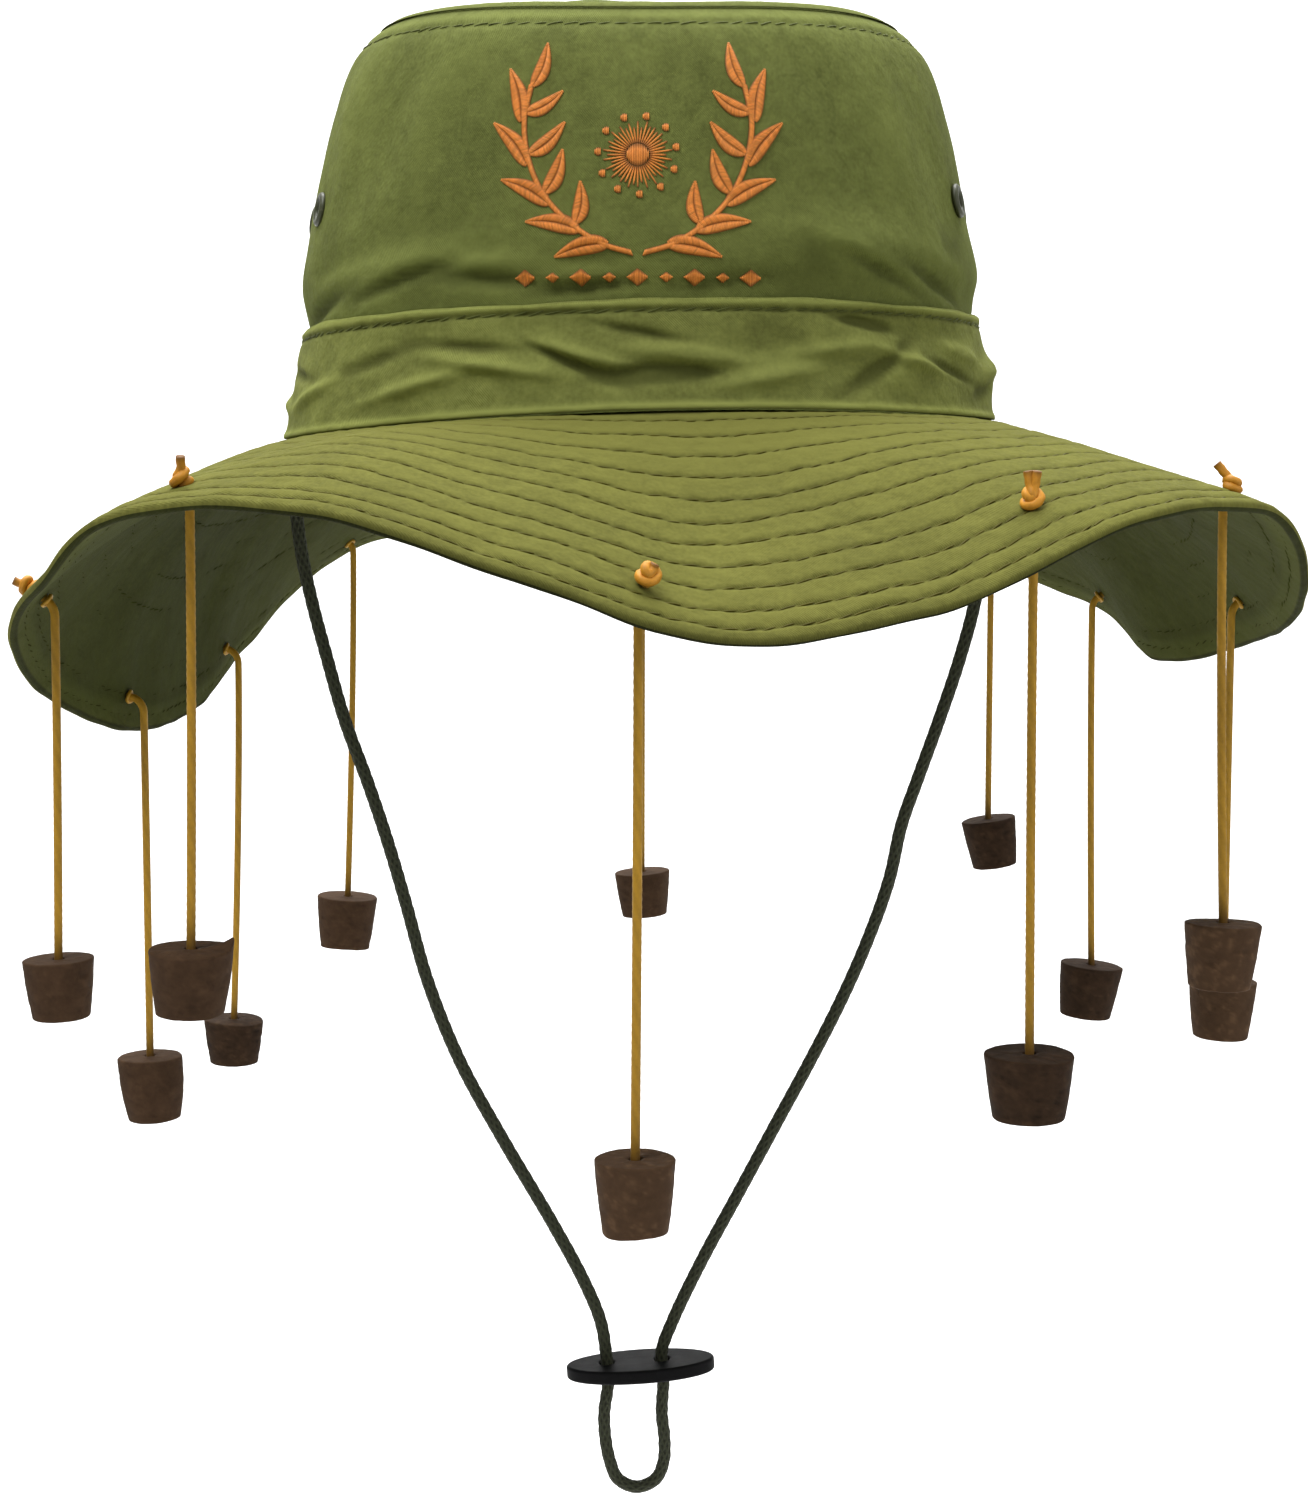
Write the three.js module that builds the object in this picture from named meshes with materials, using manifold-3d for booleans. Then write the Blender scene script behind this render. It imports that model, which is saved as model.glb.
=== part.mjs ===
// A cork hat: a soft cotton crown and a wide stitched brim, twelve corks that hang from the brim
// on cords, and a chin cord with a flat slide. Millimetres, +Z up. The hat faces -Y. The origin is
// the centre of the head opening, level with the base seam at the front and back.
// An azimuth is an angle in degrees round the hat: 0 is the front, 90 the side at +X.

import * as THREE from 'three';
import { mergeVertices } from 'three/addons/utils/BufferGeometryUtils.js';
import Module from 'manifold-3d';

const wasm = await Module();
wasm.setup();

// Head opening, measured inside the crown at its base seam
const headHalfWidth = 88;
const headHalfDepth = 96.5;
const baseSag = 4;
const baseLean = 2.5;

// Gap between pieces that touch
const clearance = 0.3;

// Crown
const crownHeight = 93.8;
const crownWall = 1.5;
const seamSideRise = 1.2;
const tipRise = 6;
const tipWall = 1.5;
const dentDepth = 2;

// Band round the base of the crown
const bandHeight = 25;
const bandWall = 1.5;

// Brim, measured along its slope from the outside of the band
const brimWidth = 92;
const brimWall = 2.4;

// Vent eyelets in the crown's sides
const eyeletHole = 4.5;
const eyeletOuter = 8.5;
const eyeletWall = 1.1;
const eyeletHeight = 52;
const eyeletAzimuth = 82;
const eyeletSpacing = 34;
const eyeletEdge = 0.4;

// Hanging cords, their knots and their corks
const cordDiameter = 2;
const cordBend = 4.2;
const cordLead = 0.8;
const cordBow = 0.35;
const corkDrop = 100;
const knotDiameter = 5.4;
const knotHeight = 4.2;
const tailDiameter = 1.7;
const tailLength = 4.5;
const corkTop = 17.5;
const corkBottom = 14.2;
const corkHeight = 15.8;
const corkEdge = 0.8;
const corkBore = 11;

// Chin cord and its slide
const chinDiameter = 3.3;
const chinAzimuth = 78;
const chinLead = 8;
const chinStep = 8;
const toggleLength = 39;
const toggleDepth = 18;
const toggleHeight = 3.6;
const toggleEdge = 0.7;
const toggleX = 0.1;
const toggleZ = -249.3;
const toggleLean = 4;
const toggleSpacing = 14.6;
const toggleShift = -1.5;

// Fineness of the faceted shapes
const columns = 54;
const bandRows = 2;
const crownRows = 6;
const tipRings = [0.45, 0.8, 1];
const brimRows = [0, 0.18, 0.38, 0.58, 0.8];
const holeSides = 10;
const eyeletSides = 10;
const corkSides = 10;
const knotSides = 6;
const cordSides = 8;
const cordBendSteps = 3;
const toggleSteps = 10;

// Length of the drill that makes a hole, as a multiple of the wall that it goes through
const drillReach = 4;

// Share of the crown's height over which its folds fade out at the base and at the tip
const foldFade = 0.125;

// A knot's outline from its foot up: girth is a share of its diameter, height of its height
const knotOutline = [
  { girth: 0.7, height: 0 },
  { girth: 1, height: 0.35 },
  { girth: 0.8, height: 0.8 },
];

// Half width of the crown as a share of the head opening, by the share of the crown's height
const crownProfile = [
  { rise: 0.00, width: 1.000 },
  { rise: 0.12, width: 0.978 },
  { rise: 0.25, width: 0.956 },
  { rise: 0.38, width: 0.964 },
  { rise: 0.50, width: 0.938 },
  { rise: 0.62, width: 0.913 },
  { rise: 0.74, width: 0.884 },
  { rise: 0.86, width: 0.845 },
  { rise: 0.94, width: 0.802 },
  { rise: 1.00, width: 0.735 },
];

// Dents (negative) and swells of the cloth wall: depth is a share of the usual dent, the place is
// given by azimuth and rise, the reach in degrees and in shares of the height, turned by lean
const crownFolds = [
  { azimuth: -62, rise: 0.36, reach: 24, height: 0.06, lean: 0.004, depth: -1.10 },
  { azimuth: -30, rise: 0.40, reach: 11, height: 0.07, lean: 0.000, depth: -0.90 },
  { azimuth: -8, rise: 0.36, reach: 10, height: 0.05, lean: 0.000, depth: -0.60 },
  { azimuth: 38, rise: 0.42, reach: 14, height: 0.06, lean: -0.002, depth: 0.80 },
  { azimuth: 62, rise: 0.34, reach: 16, height: 0.05, lean: -0.003, depth: -0.80 },
  { azimuth: 84, rise: 0.10, reach: 10, height: 0.06, lean: 0.000, depth: 0.90 },
  { azimuth: 20, rise: 0.12, reach: 16, height: 0.06, lean: 0.001, depth: -0.70 },
  { azimuth: 52, rise: 0.20, reach: 14, height: 0.05, lean: -0.002, depth: -0.65 },
  { azimuth: -95, rise: 0.55, reach: 16, height: 0.20, lean: 0.000, depth: 0.60 },
  { azimuth: 150, rise: 0.45, reach: 20, height: 0.08, lean: 0.002, depth: -0.80 },
];

// Slope of the brim below level, in degrees, where it leaves the band and at its edge
const brimSlopes = [
  { azimuth: -165, slopeIn: 20, slopeOut: 30 },
  { azimuth: -150, slopeIn: 17, slopeOut: 27 },
  { azimuth: -130, slopeIn: 20, slopeOut: 67 },
  { azimuth: -112, slopeIn: 29, slopeOut: 89 },
  { azimuth: -90, slopeIn: 30, slopeOut: 90 },
  { azimuth: -72, slopeIn: 17, slopeOut: 73 },
  { azimuth: -56, slopeIn: 7, slopeOut: 48 },
  { azimuth: -48, slopeIn: 6, slopeOut: 37 },
  { azimuth: -38, slopeIn: 5, slopeOut: 20 },
  { azimuth: -23, slopeIn: 7, slopeOut: 14.3 },
  { azimuth: -8, slopeIn: 16, slopeOut: 23.5 },
  { azimuth: 6, slopeIn: 24, slopeOut: 35 },
  { azimuth: 20, slopeIn: 19, slopeOut: 33 },
  { azimuth: 34, slopeIn: 12, slopeOut: 16.5 },
  { azimuth: 50, slopeIn: 8, slopeOut: 18 },
  { azimuth: 68, slopeIn: 12, slopeOut: 45.5 },
  { azimuth: 88, slopeIn: 18, slopeOut: 60 },
  { azimuth: 106, slopeIn: 25, slopeOut: 69 },
  { azimuth: 125, slopeIn: 23, slopeOut: 48 },
  { azimuth: 150, slopeIn: 24, slopeOut: 27 },
  { azimuth: 172, slopeIn: 24, slopeOut: 32 },
];

// Hanging cords: turn is the azimuth of the hole, inset its distance from the brim's edge as a
// share of its width, hang the drop from the hole to the cork's top as a share of the usual drop,
// and sway how far the cork hangs to +X of the hole as a share of a cork's width. wide and tall
// are shares of the usual cork, and tilt turns it
const corkRows = [
  { name: 'front', turn: 0.7, inset: 0.141, hang: 1.156, sway: -0.04, wide: 0.97, tall: 1.01, tilt: 0 },
  { name: 'right_front', turn: 30.3, inset: 0.196, hang: 1.13, sway: 0.05, wide: 1.1, tall: 0.89, tilt: 0 },
  { name: 'right', turn: 49.8, inset: 0.13, hang: 0.933, sway: 0.13, wide: 0.98, tall: 0.93, tilt: 2 },
  { name: 'right_side', turn: 83.5, inset: 0.13, hang: 0.984, sway: 0.02, wide: 1, tall: 0.94, tilt: 2 },
  { name: 'right_rear', turn: 118, inset: 0.13, hang: 1.09, sway: 0.1, wide: 1.04, tall: 0.98, tilt: 6 },
  { name: 'back_right', turn: 137, inset: 0.13, hang: 0.827, sway: 0.01, wide: 0.96, tall: 0.95, tilt: -9 },
  { name: 'back', turn: 180, inset: 0.13, hang: 1.093, sway: -0.01, wide: 1.04, tall: 0.92, tilt: -4 },
  { name: 'back_left', turn: -145, inset: 0.13, hang: 1.126, sway: -0.18, wide: 1.1, tall: 1.06, tilt: 4 },
  { name: 'left_rear', turn: -118.4, inset: 0.13, hang: 1.09, sway: -0.18, wide: 0.98, tall: 0.83, tilt: 1 },
  { name: 'left_side', turn: -87.3, inset: 0.1, hang: 0.953, sway: -0.02, wide: 0.96, tall: 1.08, tilt: -3 },
  { name: 'left', turn: -58, inset: 0.12, hang: 0.833, sway: -0.07, wide: 0.95, tall: 0.88, tilt: -2 },
  { name: 'left_front', turn: -33.8, inset: 0.152, hang: 0.943, sway: -0.09, wide: 1.02, tall: 0.9, tilt: 2 },
];

// The chin cord's route in its upright plane, x to the side and z above the head opening: down
// the left side to the slide, the loop under it, and up the right side
const chinLeft = [
  { x: -86.2, z: -34 },
  { x: -83.7, z: -47 },
  { x: -80.2, z: -61 },
  { x: -75.6, z: -78 },
  { x: -70.1, z: -93.5 },
  { x: -65.1, z: -109 },
  { x: -60.6, z: -125 },
  { x: -55, z: -146 },
  { x: -46.9, z: -167 },
  { x: -35.5, z: -188.5 },
  { x: -23.2, z: -210 },
  { x: -14.8, z: -226 },
  { x: -10.4, z: -237 },
];
const chinLoop = [
  { x: -9.5, z: -262 },
  { x: -9.2, z: -269 },
  { x: -8, z: -275.2 },
  { x: -5.9, z: -280.1 },
  { x: -0.9, z: -282.3 },
  { x: 4.1, z: -280.1 },
  { x: 6.2, z: -275.2 },
  { x: 6.4, z: -269 },
  { x: 5.7, z: -262 },
];
const chinRight = [
  { x: 8.5, z: -237 },
  { x: 16.2, z: -220.5 },
  { x: 26.2, z: -201.5 },
  { x: 35.9, z: -183 },
  { x: 44.3, z: -167 },
  { x: 52.2, z: -151 },
  { x: 59, z: -135 },
  { x: 64.3, z: -119.5 },
  { x: 67.4, z: -105 },
  { x: 71.3, z: -93.5 },
  { x: 76.7, z: -78 },
  { x: 81.7, z: -62.5 },
  { x: 85.6, z: -47 },
  { x: 87.2, z: -32 },
];

// Turns degrees to radians
function rad(degrees) {
  return THREE.MathUtils.degToRad(degrees);
}

// The smooth value of one column between rows, through the values either side of a step
function blendRows(before, start, end, after, key, column, place) {
  const span = end[key] - start[key];
  const share = (place - start[key]) / span;
  const leaving = (end[column] - before[column]) / (end[key] - before[key]);
  const arriving = (after[column] - start[column]) / (after[key] - start[key]);
  const square = share * share;
  const cube = square * share;
  return (2 * cube - 3 * square + 1) * start[column] + (cube - 2 * square + share) * span * leaving
    + (3 * square - 2 * cube) * end[column] + (cube - square) * span * arriving;
}

// A column of a table that goes all round the hat, at any azimuth
function roundTable(rows, column, azimuth) {
  const count = rows.length;
  const first = rows[0].azimuth;
  const turn = ((azimuth - first) % 360 + 360) % 360 + first;
  const row = (index) => {
    const laps = Math.floor(index / count);
    const source = rows[index - laps * count];
    return { azimuth: source.azimuth + 360 * laps, [column]: source[column] };
  };
  let index = 0;
  while (row(index + 1).azimuth <= turn) index += 1;
  return blendRows(row(index - 1), row(index), row(index + 1), row(index + 2), 'azimuth', column, turn);
}

// Half width of the crown as a share of the opening, at a rise from 0 at the base to 1 at the top
function crownShare(rise) {
  const last = crownProfile.length - 1;
  let index = 0;
  while (index < last - 1 && crownProfile[index + 1].rise <= rise) index += 1;
  const before = crownProfile[Math.max(index - 1, 0)];
  const after = crownProfile[Math.min(index + 2, last)];
  return blendRows(before, crownProfile[index], crownProfile[index + 1], after, 'rise', 'width', rise);
}

// Level unit vector that points outwards at an azimuth
function outward(azimuth) {
  return new THREE.Vector3(Math.sin(rad(azimuth)), -Math.cos(rad(azimuth)), 0);
}

// Height of the base seam, which dips at the sides and leans a little
function baseLevel(azimuth) {
  const side = Math.sin(rad(azimuth));
  return baseLean * side - baseSag * side * side;
}

// Height of the seam between the crown's side and its tip
function seamLevel(azimuth) {
  const side = Math.sin(rad(azimuth));
  return crownHeight + seamSideRise * side * side;
}

// How far the cloth wall swells (or dents, below zero) at a place
function foldDepth(azimuth, rise) {
  let depth = 0;
  for (const fold of crownFolds) {
    const turn = ((azimuth - fold.azimuth + 180) % 360 + 360) % 360 - 180;
    const across = (rise - fold.rise - fold.lean * turn) / fold.height;
    const along = turn / fold.reach;
    depth += dentDepth * fold.depth * Math.exp(-along * along - across * across);
  }
  return depth;
}

// A point of the crown's wall, outset by so much from its inner face
function crownPlace(azimuth, rise, outset) {
  const level = THREE.MathUtils.lerp(baseLevel(azimuth), seamLevel(azimuth), rise);
  const share = crownShare(rise);
  const fade = Math.min(1, rise / foldFade, (1 - rise) / foldFade);
  const out = outset + foldDepth(azimuth, rise) * Math.max(fade, 0);
  const way = outward(azimuth);
  return new THREE.Vector3(
    way.x * (headHalfWidth * share + out),
    way.y * (headHalfDepth * share + out),
    level,
  );
}

// Slope of the brim at a share of its width, in radians below level
function brimSlope(azimuth, share) {
  const slopeIn = roundTable(brimSlopes, 'slopeIn', azimuth);
  const slopeOut = roundTable(brimSlopes, 'slopeOut', azimuth);
  return rad(slopeIn + (slopeOut - slopeIn) * share);
}

// Direction through the brim's cloth, upwards, in the upright plane of an azimuth
function brimNormal(azimuth, share) {
  const slope = brimSlope(azimuth, share);
  return outward(azimuth).multiplyScalar(Math.sin(slope)).setZ(Math.cos(slope));
}

// A point of the brim: share 0 is at the outside of the band and 1 at the edge, depth is measured
// down through the cloth from the upper face
function brimPlace(azimuth, share, depth) {
  const start = brimSlope(azimuth, 0);
  const here = brimSlope(azimuth, share);
  const turn = brimSlope(azimuth, 1) - start;
  const bend = brimWidth / turn;
  const out = bend * (Math.sin(here) - Math.sin(start));
  const drop = bend * (Math.cos(start) - Math.cos(here));
  const outset = crownWall + clearance + bandWall;
  const way = outward(azimuth);
  const place = new THREE.Vector3(
    way.x * (headHalfWidth + outset + out),
    way.y * (headHalfDepth + outset + out),
    baseLevel(azimuth) - clearance - drop,
  );
  return place.addScaledVector(brimNormal(azimuth, share), -depth);
}

// Direction that the brim's upper face looks in, with its waves taken into account
function brimFacing(azimuth, share) {
  const turn = 2;
  const step = 0.02;
  const along = brimPlace(azimuth + turn, share, 0).sub(brimPlace(azimuth - turn, share, 0));
  const down = brimPlace(azimuth, share + step, 0).sub(brimPlace(azimuth, share - step, 0));
  return down.cross(along).normalize();
}

// A closed body from columns of points that go all round. Each column is one closed section,
// listed so that the outside lies to its left, or one open line from a top to a bottom pole.
// Each four-sided patch is split from the higher row of a column to the lower row of the next,
// so that walls that lie against each other are split alike
function roundBody(sectionAt, poles) {
  const points = [];
  const faces = [];
  const sections = [];
  for (let column = 0; column < columns; column += 1) {
    const azimuth = 360 * column / columns;
    sections.push(sectionAt(azimuth));
  }
  const rows = sections[0].length;
  for (const section of sections) {
    for (const point of section) points.push(point.x, point.y, point.z);
  }
  const steps = poles ? rows - 1 : rows;
  for (let column = 0; column < columns; column += 1) {
    const next = (column + 1) % columns;
    for (let row = 0; row < steps; row += 1) {
      const below = (row + 1) % rows;
      const a = column * rows + row;
      const b = column * rows + below;
      const c = next * rows + below;
      const d = next * rows + row;
      const falls = sections[column][row].z > sections[column][below].z;
      if (falls) faces.push(a, b, c, a, c, d);
      else faces.push(a, b, d, b, c, d);
    }
  }
  if (poles) {
    const top = points.length / 3;
    points.push(poles.top.x, poles.top.y, poles.top.z);
    points.push(poles.bottom.x, poles.bottom.y, poles.bottom.z);
    for (let column = 0; column < columns; column += 1) {
      const next = (column + 1) % columns;
      faces.push(top, column * rows, next * rows);
      faces.push(top + 1, next * rows + rows - 1, column * rows + rows - 1);
    }
  }
  const geometry = new THREE.BufferGeometry();
  geometry.setAttribute('position', new THREE.Float32BufferAttribute(points, 3));
  geometry.setIndex(faces);
  return geometry;
}

// A solid that can be joined and cut, from a closed geometry
function solidOf(geometry) {
  const bare = geometry.clone();
  bare.deleteAttribute('normal');
  bare.deleteAttribute('uv');
  const merged = mergeVertices(bare);
  return new wasm.Manifold(new wasm.Mesh({
    numProp: 3,
    vertProperties: new Float32Array(merged.attributes.position.array),
    triVerts: new Uint32Array(merged.index.array),
  }));
}

// The geometry of a solid, ready for a mesh
function geometryOf(solid) {
  const cut = solid.getMesh();
  const geometry = new THREE.BufferGeometry();
  geometry.setAttribute('position', new THREE.BufferAttribute(cut.vertProperties, 3));
  geometry.setIndex(new THREE.BufferAttribute(cut.triVerts, 1));
  return geometry;
}

// A geometry with round holes drilled through it: each hole has a place, a direction and a size
function drilled(geometry, holes) {
  let solid = solidOf(geometry);
  for (const hole of holes) {
    const radius = hole.diameter / 2;
    const drill = new THREE.CylinderGeometry(radius, radius, hole.length, holeSides);
    drill.applyMatrix4(placement(hole.place, hole.direction));
    solid = solid.subtract(solidOf(drill));
  }
  return geometryOf(solid);
}

// The matrix that turns +Y to a direction and moves the origin to a place
function placement(place, direction) {
  const turn = new THREE.Quaternion().setFromUnitVectors(new THREE.Vector3(0, 1, 0), direction);
  return new THREE.Matrix4().compose(place, turn, new THREE.Vector3(1, 1, 1));
}

// A route whose rings lie exactly on its points
class Route extends THREE.Curve {
  constructor(points) {
    super();
    this.points = points;
  }

  getPointAt(share) {
    const place = share * (this.points.length - 1);
    const index = Math.min(Math.floor(place), this.points.length - 2);
    return this.points[index].clone().lerp(this.points[index + 1], place - index);
  }

  getTangentAt(share) {
    const index = Math.round(share * (this.points.length - 1));
    const before = this.points[Math.max(index - 1, 0)];
    const after = this.points[Math.min(index + 1, this.points.length - 1)];
    return after.clone().sub(before).normalize();
  }
}

// A round body turned about Y, from points with a radius and a level
function turned(profile, sides) {
  return new THREE.LatheGeometry(profile.map(([radius, level]) => new THREE.Vector2(radius, level)), sides);
}

// A round cord along points
function cordGeometry(points, diameter) {
  const section = new THREE.Shape();
  for (let side = 0; side < cordSides; side += 1) {
    const angle = 2 * Math.PI * side / cordSides;
    const x = diameter / 2 * Math.cos(angle);
    const y = diameter / 2 * Math.sin(angle);
    if (side === 0) section.moveTo(x, y);
    else section.lineTo(x, y);
  }
  section.closePath();
  return new THREE.ExtrudeGeometry(section, {
    steps: points.length - 1,
    extrudePath: new Route(points),
    bevelEnabled: false,
  });
}

// The upright wall of the crown, from its base seam to the tip's seam
function crownSideGeometry() {
  const bandShare = bandHeight / crownHeight;
  const rises = [];
  for (let row = 0; row < bandRows; row += 1) rises.push(bandShare * row / bandRows);
  for (let row = 0; row <= crownRows; row += 1) {
    const share = row / crownRows;
    rises.push(bandShare + (1 - bandShare) * Math.sin(share * Math.PI / 2));
  }
  const body = roundBody((azimuth) => {
    const outer = rises.map((rise) => crownPlace(azimuth, rise, crownWall));
    const inner = rises.map((rise) => crownPlace(azimuth, rise, 0));
    return [...outer.reverse(), ...inner];
  });
  return drilled(body, eyeletPlaces().map((eyelet) => ({
    place: eyelet.place,
    direction: eyelet.direction,
    diameter: eyeletHole,
    length: 2 * drillReach * crownWall,
  })));
}

// The top panel, a shallow dome that lies on the wall's upper edge
function crownTipGeometry() {
  const topShare = crownShare(1);
  const place = (azimuth, share, lift) => {
    const side = Math.sin(rad(azimuth));
    const level = crownHeight + seamSideRise * (side * share) ** 2;
    const dome = tipRise * (1 - share * share);
    const way = outward(azimuth);
    return new THREE.Vector3(
      way.x * (headHalfWidth * topShare + crownWall) * share,
      way.y * (headHalfDepth * topShare + crownWall) * share,
      level + clearance + dome + lift,
    );
  };
  const poles = {
    top: new THREE.Vector3(0, 0, crownHeight + clearance + tipRise + tipWall),
    bottom: new THREE.Vector3(0, 0, crownHeight + clearance + tipRise),
  };
  return roundBody((azimuth) => {
    const upper = tipRings.map((share) => place(azimuth, share, tipWall));
    const lower = tipRings.map((share) => place(azimuth, share, 0));
    return [...upper, ...lower.reverse()];
  }, poles);
}

// The band that covers the foot of the crown
function bandGeometry() {
  const bandShare = bandHeight / crownHeight;
  const rises = [];
  for (let row = 0; row <= bandRows; row += 1) rises.push(bandShare * row / bandRows);
  const inset = crownWall + clearance;
  return roundBody((azimuth) => {
    const outer = rises.map((rise) => crownPlace(azimuth, rise, inset + bandWall));
    const inner = rises.map((rise) => crownPlace(azimuth, rise, inset));
    return [...outer.reverse(), ...inner];
  });
}

// The brim: a level strip under the crown's wall, then the slope out to a rounded edge
function brimGeometry() {
  const round = brimWall / 2 / brimWidth;
  const shares = [...brimRows, 1 - round];
  const body = roundBody((azimuth) => {
    const level = baseLevel(azimuth) - clearance;
    const way = outward(azimuth);
    const lipTop = new THREE.Vector3(way.x * headHalfWidth, way.y * headHalfDepth, level);
    const lipBottom = lipTop.clone().setZ(level - brimWall);
    const upper = shares.map((share) => brimPlace(azimuth, share, 0));
    const lower = shares.map((share) => brimPlace(azimuth, share, brimWall));
    const edge = brimPlace(azimuth, 1, brimWall / 2);
    return [lipTop, ...upper, edge, ...lower.reverse(), lipBottom];
  });
  return drilled(body, corkRows.map((row) => {
    const direction = brimFacing(row.turn, holeShare(row));
    const mouth = brimPlace(row.turn, holeShare(row), 0);
    return {
      place: mouth.addScaledVector(direction, -brimWall / 2),
      direction,
      diameter: cordDiameter + 2 * clearance,
      length: drillReach * brimWall,
    };
  }));
}

// Where the eyelets sit: their centres on the wall's outer face and the way they look
function eyeletPlaces() {
  const rise = eyeletHeight / crownHeight;
  const halfDepth = headHalfDepth * crownShare(rise);
  const spread = THREE.MathUtils.radToDeg(Math.asin(eyeletSpacing / 2 / halfDepth));
  const places = [
    { name: 'eyelet_left_front', azimuth: -eyeletAzimuth + spread },
    { name: 'eyelet_left_back', azimuth: -eyeletAzimuth - spread },
    { name: 'eyelet_right_front', azimuth: eyeletAzimuth - spread },
    { name: 'eyelet_right_back', azimuth: eyeletAzimuth + spread },
  ];
  const wall = (azimuth, height) => crownPlace(azimuth, height, crownWall);
  const turn = 4;
  const step = 0.05;
  return places.map(({ name, azimuth }) => {
    const along = wall(azimuth + turn, rise).sub(wall(azimuth - turn, rise));
    const up = wall(azimuth, rise + step).sub(wall(azimuth, rise - step));
    return { name, place: wall(azimuth, rise), direction: along.cross(up).normalize() };
  });
}

// A flat ring that lies on the crown's wall round its vent hole
function eyeletGeometry() {
  const inner = eyeletHole / 2;
  const outer = eyeletOuter / 2;
  const profile = [
    [inner, 0],
    [outer, 0],
    [outer, eyeletWall - eyeletEdge],
    [outer - eyeletEdge, eyeletWall],
    [inner + eyeletEdge, eyeletWall],
    [inner, eyeletWall - eyeletEdge],
    [inner, 0],
  ];
  return turned(profile, eyeletSides);
}

// Share of the brim's width, from the band, at which a cord's hole lies
function holeShare(row) {
  return 1 - row.inset;
}

// The route of a hanging cord: flush with the brim's upper face, through the hole, round a bend
// and straight down into the cork's bore
function cordRoute(row) {
  const normal = brimFacing(row.turn, holeShare(row));
  const slope = Math.acos(normal.z);
  const way = normal.clone().setZ(0).normalize();
  const start = brimPlace(row.turn, holeShare(row), 0);
  const bendStart = start.clone().addScaledVector(normal, -brimWall - cordLead);
  const points = [start, bendStart];
  for (let step = 1; step <= cordBendSteps; step += 1) {
    const angle = slope * (1 - step / cordBendSteps);
    const inwards = cordBend * (Math.cos(angle) - Math.cos(slope));
    const down = cordBend * (Math.sin(slope) - Math.sin(angle));
    points.push(bendStart.clone().addScaledVector(way, -inwards).setZ(bendStart.z - down));
  }
  const foot = points[points.length - 1];
  const cork = corkPlace(row, foot);
  const middle = foot.clone().lerp(cork, 0.5);
  middle.x = foot.x + corkSway(row) * cordBow;
  const boreDepth = corkBore * row.tall - clearance;
  points.push(middle, cork, cork.clone().addScaledVector(corkAxis(row), -boreDepth));
  return { points, normal };
}

// The way a cork's axis points, up from its small end
function corkAxis(row) {
  return new THREE.Vector3(Math.sin(rad(row.tilt)), 0, Math.cos(rad(row.tilt)));
}

// How far a cork hangs to +X of its hole
function corkSway(row) {
  return corkTop * row.sway;
}

// Centre of a cork's top, under the foot of its cord's bend
function corkPlace(row, foot) {
  const hole = brimPlace(row.turn, holeShare(row), brimWall);
  return new THREE.Vector3(foot.x + corkSway(row), foot.y, hole.z - corkDrop * row.hang);
}

// A tapered cork with a blind bore for its cord, its top at the origin and its axis along Y
function corkGeometry(row) {
  const top = corkTop / 2 * row.wide;
  const bottom = corkBottom / 2 * row.wide;
  const bore = cordDiameter / 2 + clearance;
  const foot = -corkHeight * row.tall;
  const boreFoot = -corkBore * row.tall;
  const profile = [
    [0, foot],
    [bottom - corkEdge, foot],
    [bottom, foot + corkEdge],
    [top, -corkEdge],
    [top - corkEdge, 0],
    [bore, 0],
    [bore, boreFoot],
    [0, boreFoot],
  ];
  return turned(profile, corkSides);
}

// A tight knot with a short tail, its foot at the origin and its axis along Y
function knotGeometry() {
  const radius = knotDiameter / 2;
  const tail = tailDiameter / 2;
  const profile = [
    [0, 0],
    ...knotOutline.map(({ girth, height }) => [radius * girth, knotHeight * height]),
    [tail, knotHeight],
    [tail, knotHeight + tailLength],
    [0, knotHeight + tailLength],
  ];
  return turned(profile, knotSides);
}

// The flat oval slide, with two holes for the chin cord
function toggleGeometry() {
  const outline = new THREE.Shape();
  outline.absellipse(0, 0, toggleLength / 2 - toggleEdge, toggleDepth / 2 - toggleEdge, 0, 2 * Math.PI);
  for (const side of [-1, 1]) {
    const hole = new THREE.Path();
    const radius = chinDiameter / 2 + clearance + toggleEdge;
    hole.absarc(side * toggleSpacing / 2 + toggleShift, 0, radius, 0, 2 * Math.PI, true);
    outline.holes.push(hole);
  }
  const body = new THREE.ExtrudeGeometry(outline, {
    depth: toggleHeight - 2 * toggleEdge,
    curveSegments: toggleSteps,
    bevelSize: toggleEdge,
    bevelThickness: toggleEdge,
    bevelSegments: 1,
  });
  body.translate(0, 0, toggleEdge - toggleHeight / 2);
  return body;
}

// Where the chin cord leaves the seam under the crown's wall, on one side of the hat
function chinExit(side) {
  const azimuth = side * chinAzimuth;
  const middle = (crownWall + clearance + bandWall) / 2;
  const way = outward(azimuth);
  return new THREE.Vector3(
    way.x * (headHalfWidth + middle),
    way.y * (headHalfDepth + middle),
    baseLevel(azimuth) - 2 * clearance - brimWall,
  );
}

// A point on the axis of one of the slide's holes, lifted along the axis
function togglePass(side, lift) {
  const lean = rad(toggleLean);
  const half = side * toggleSpacing / 2 + toggleShift;
  return {
    x: toggleX + half * Math.cos(lean) - lift * Math.sin(lean),
    z: toggleZ + half * Math.sin(lean) + lift * Math.cos(lean),
  };
}

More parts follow.
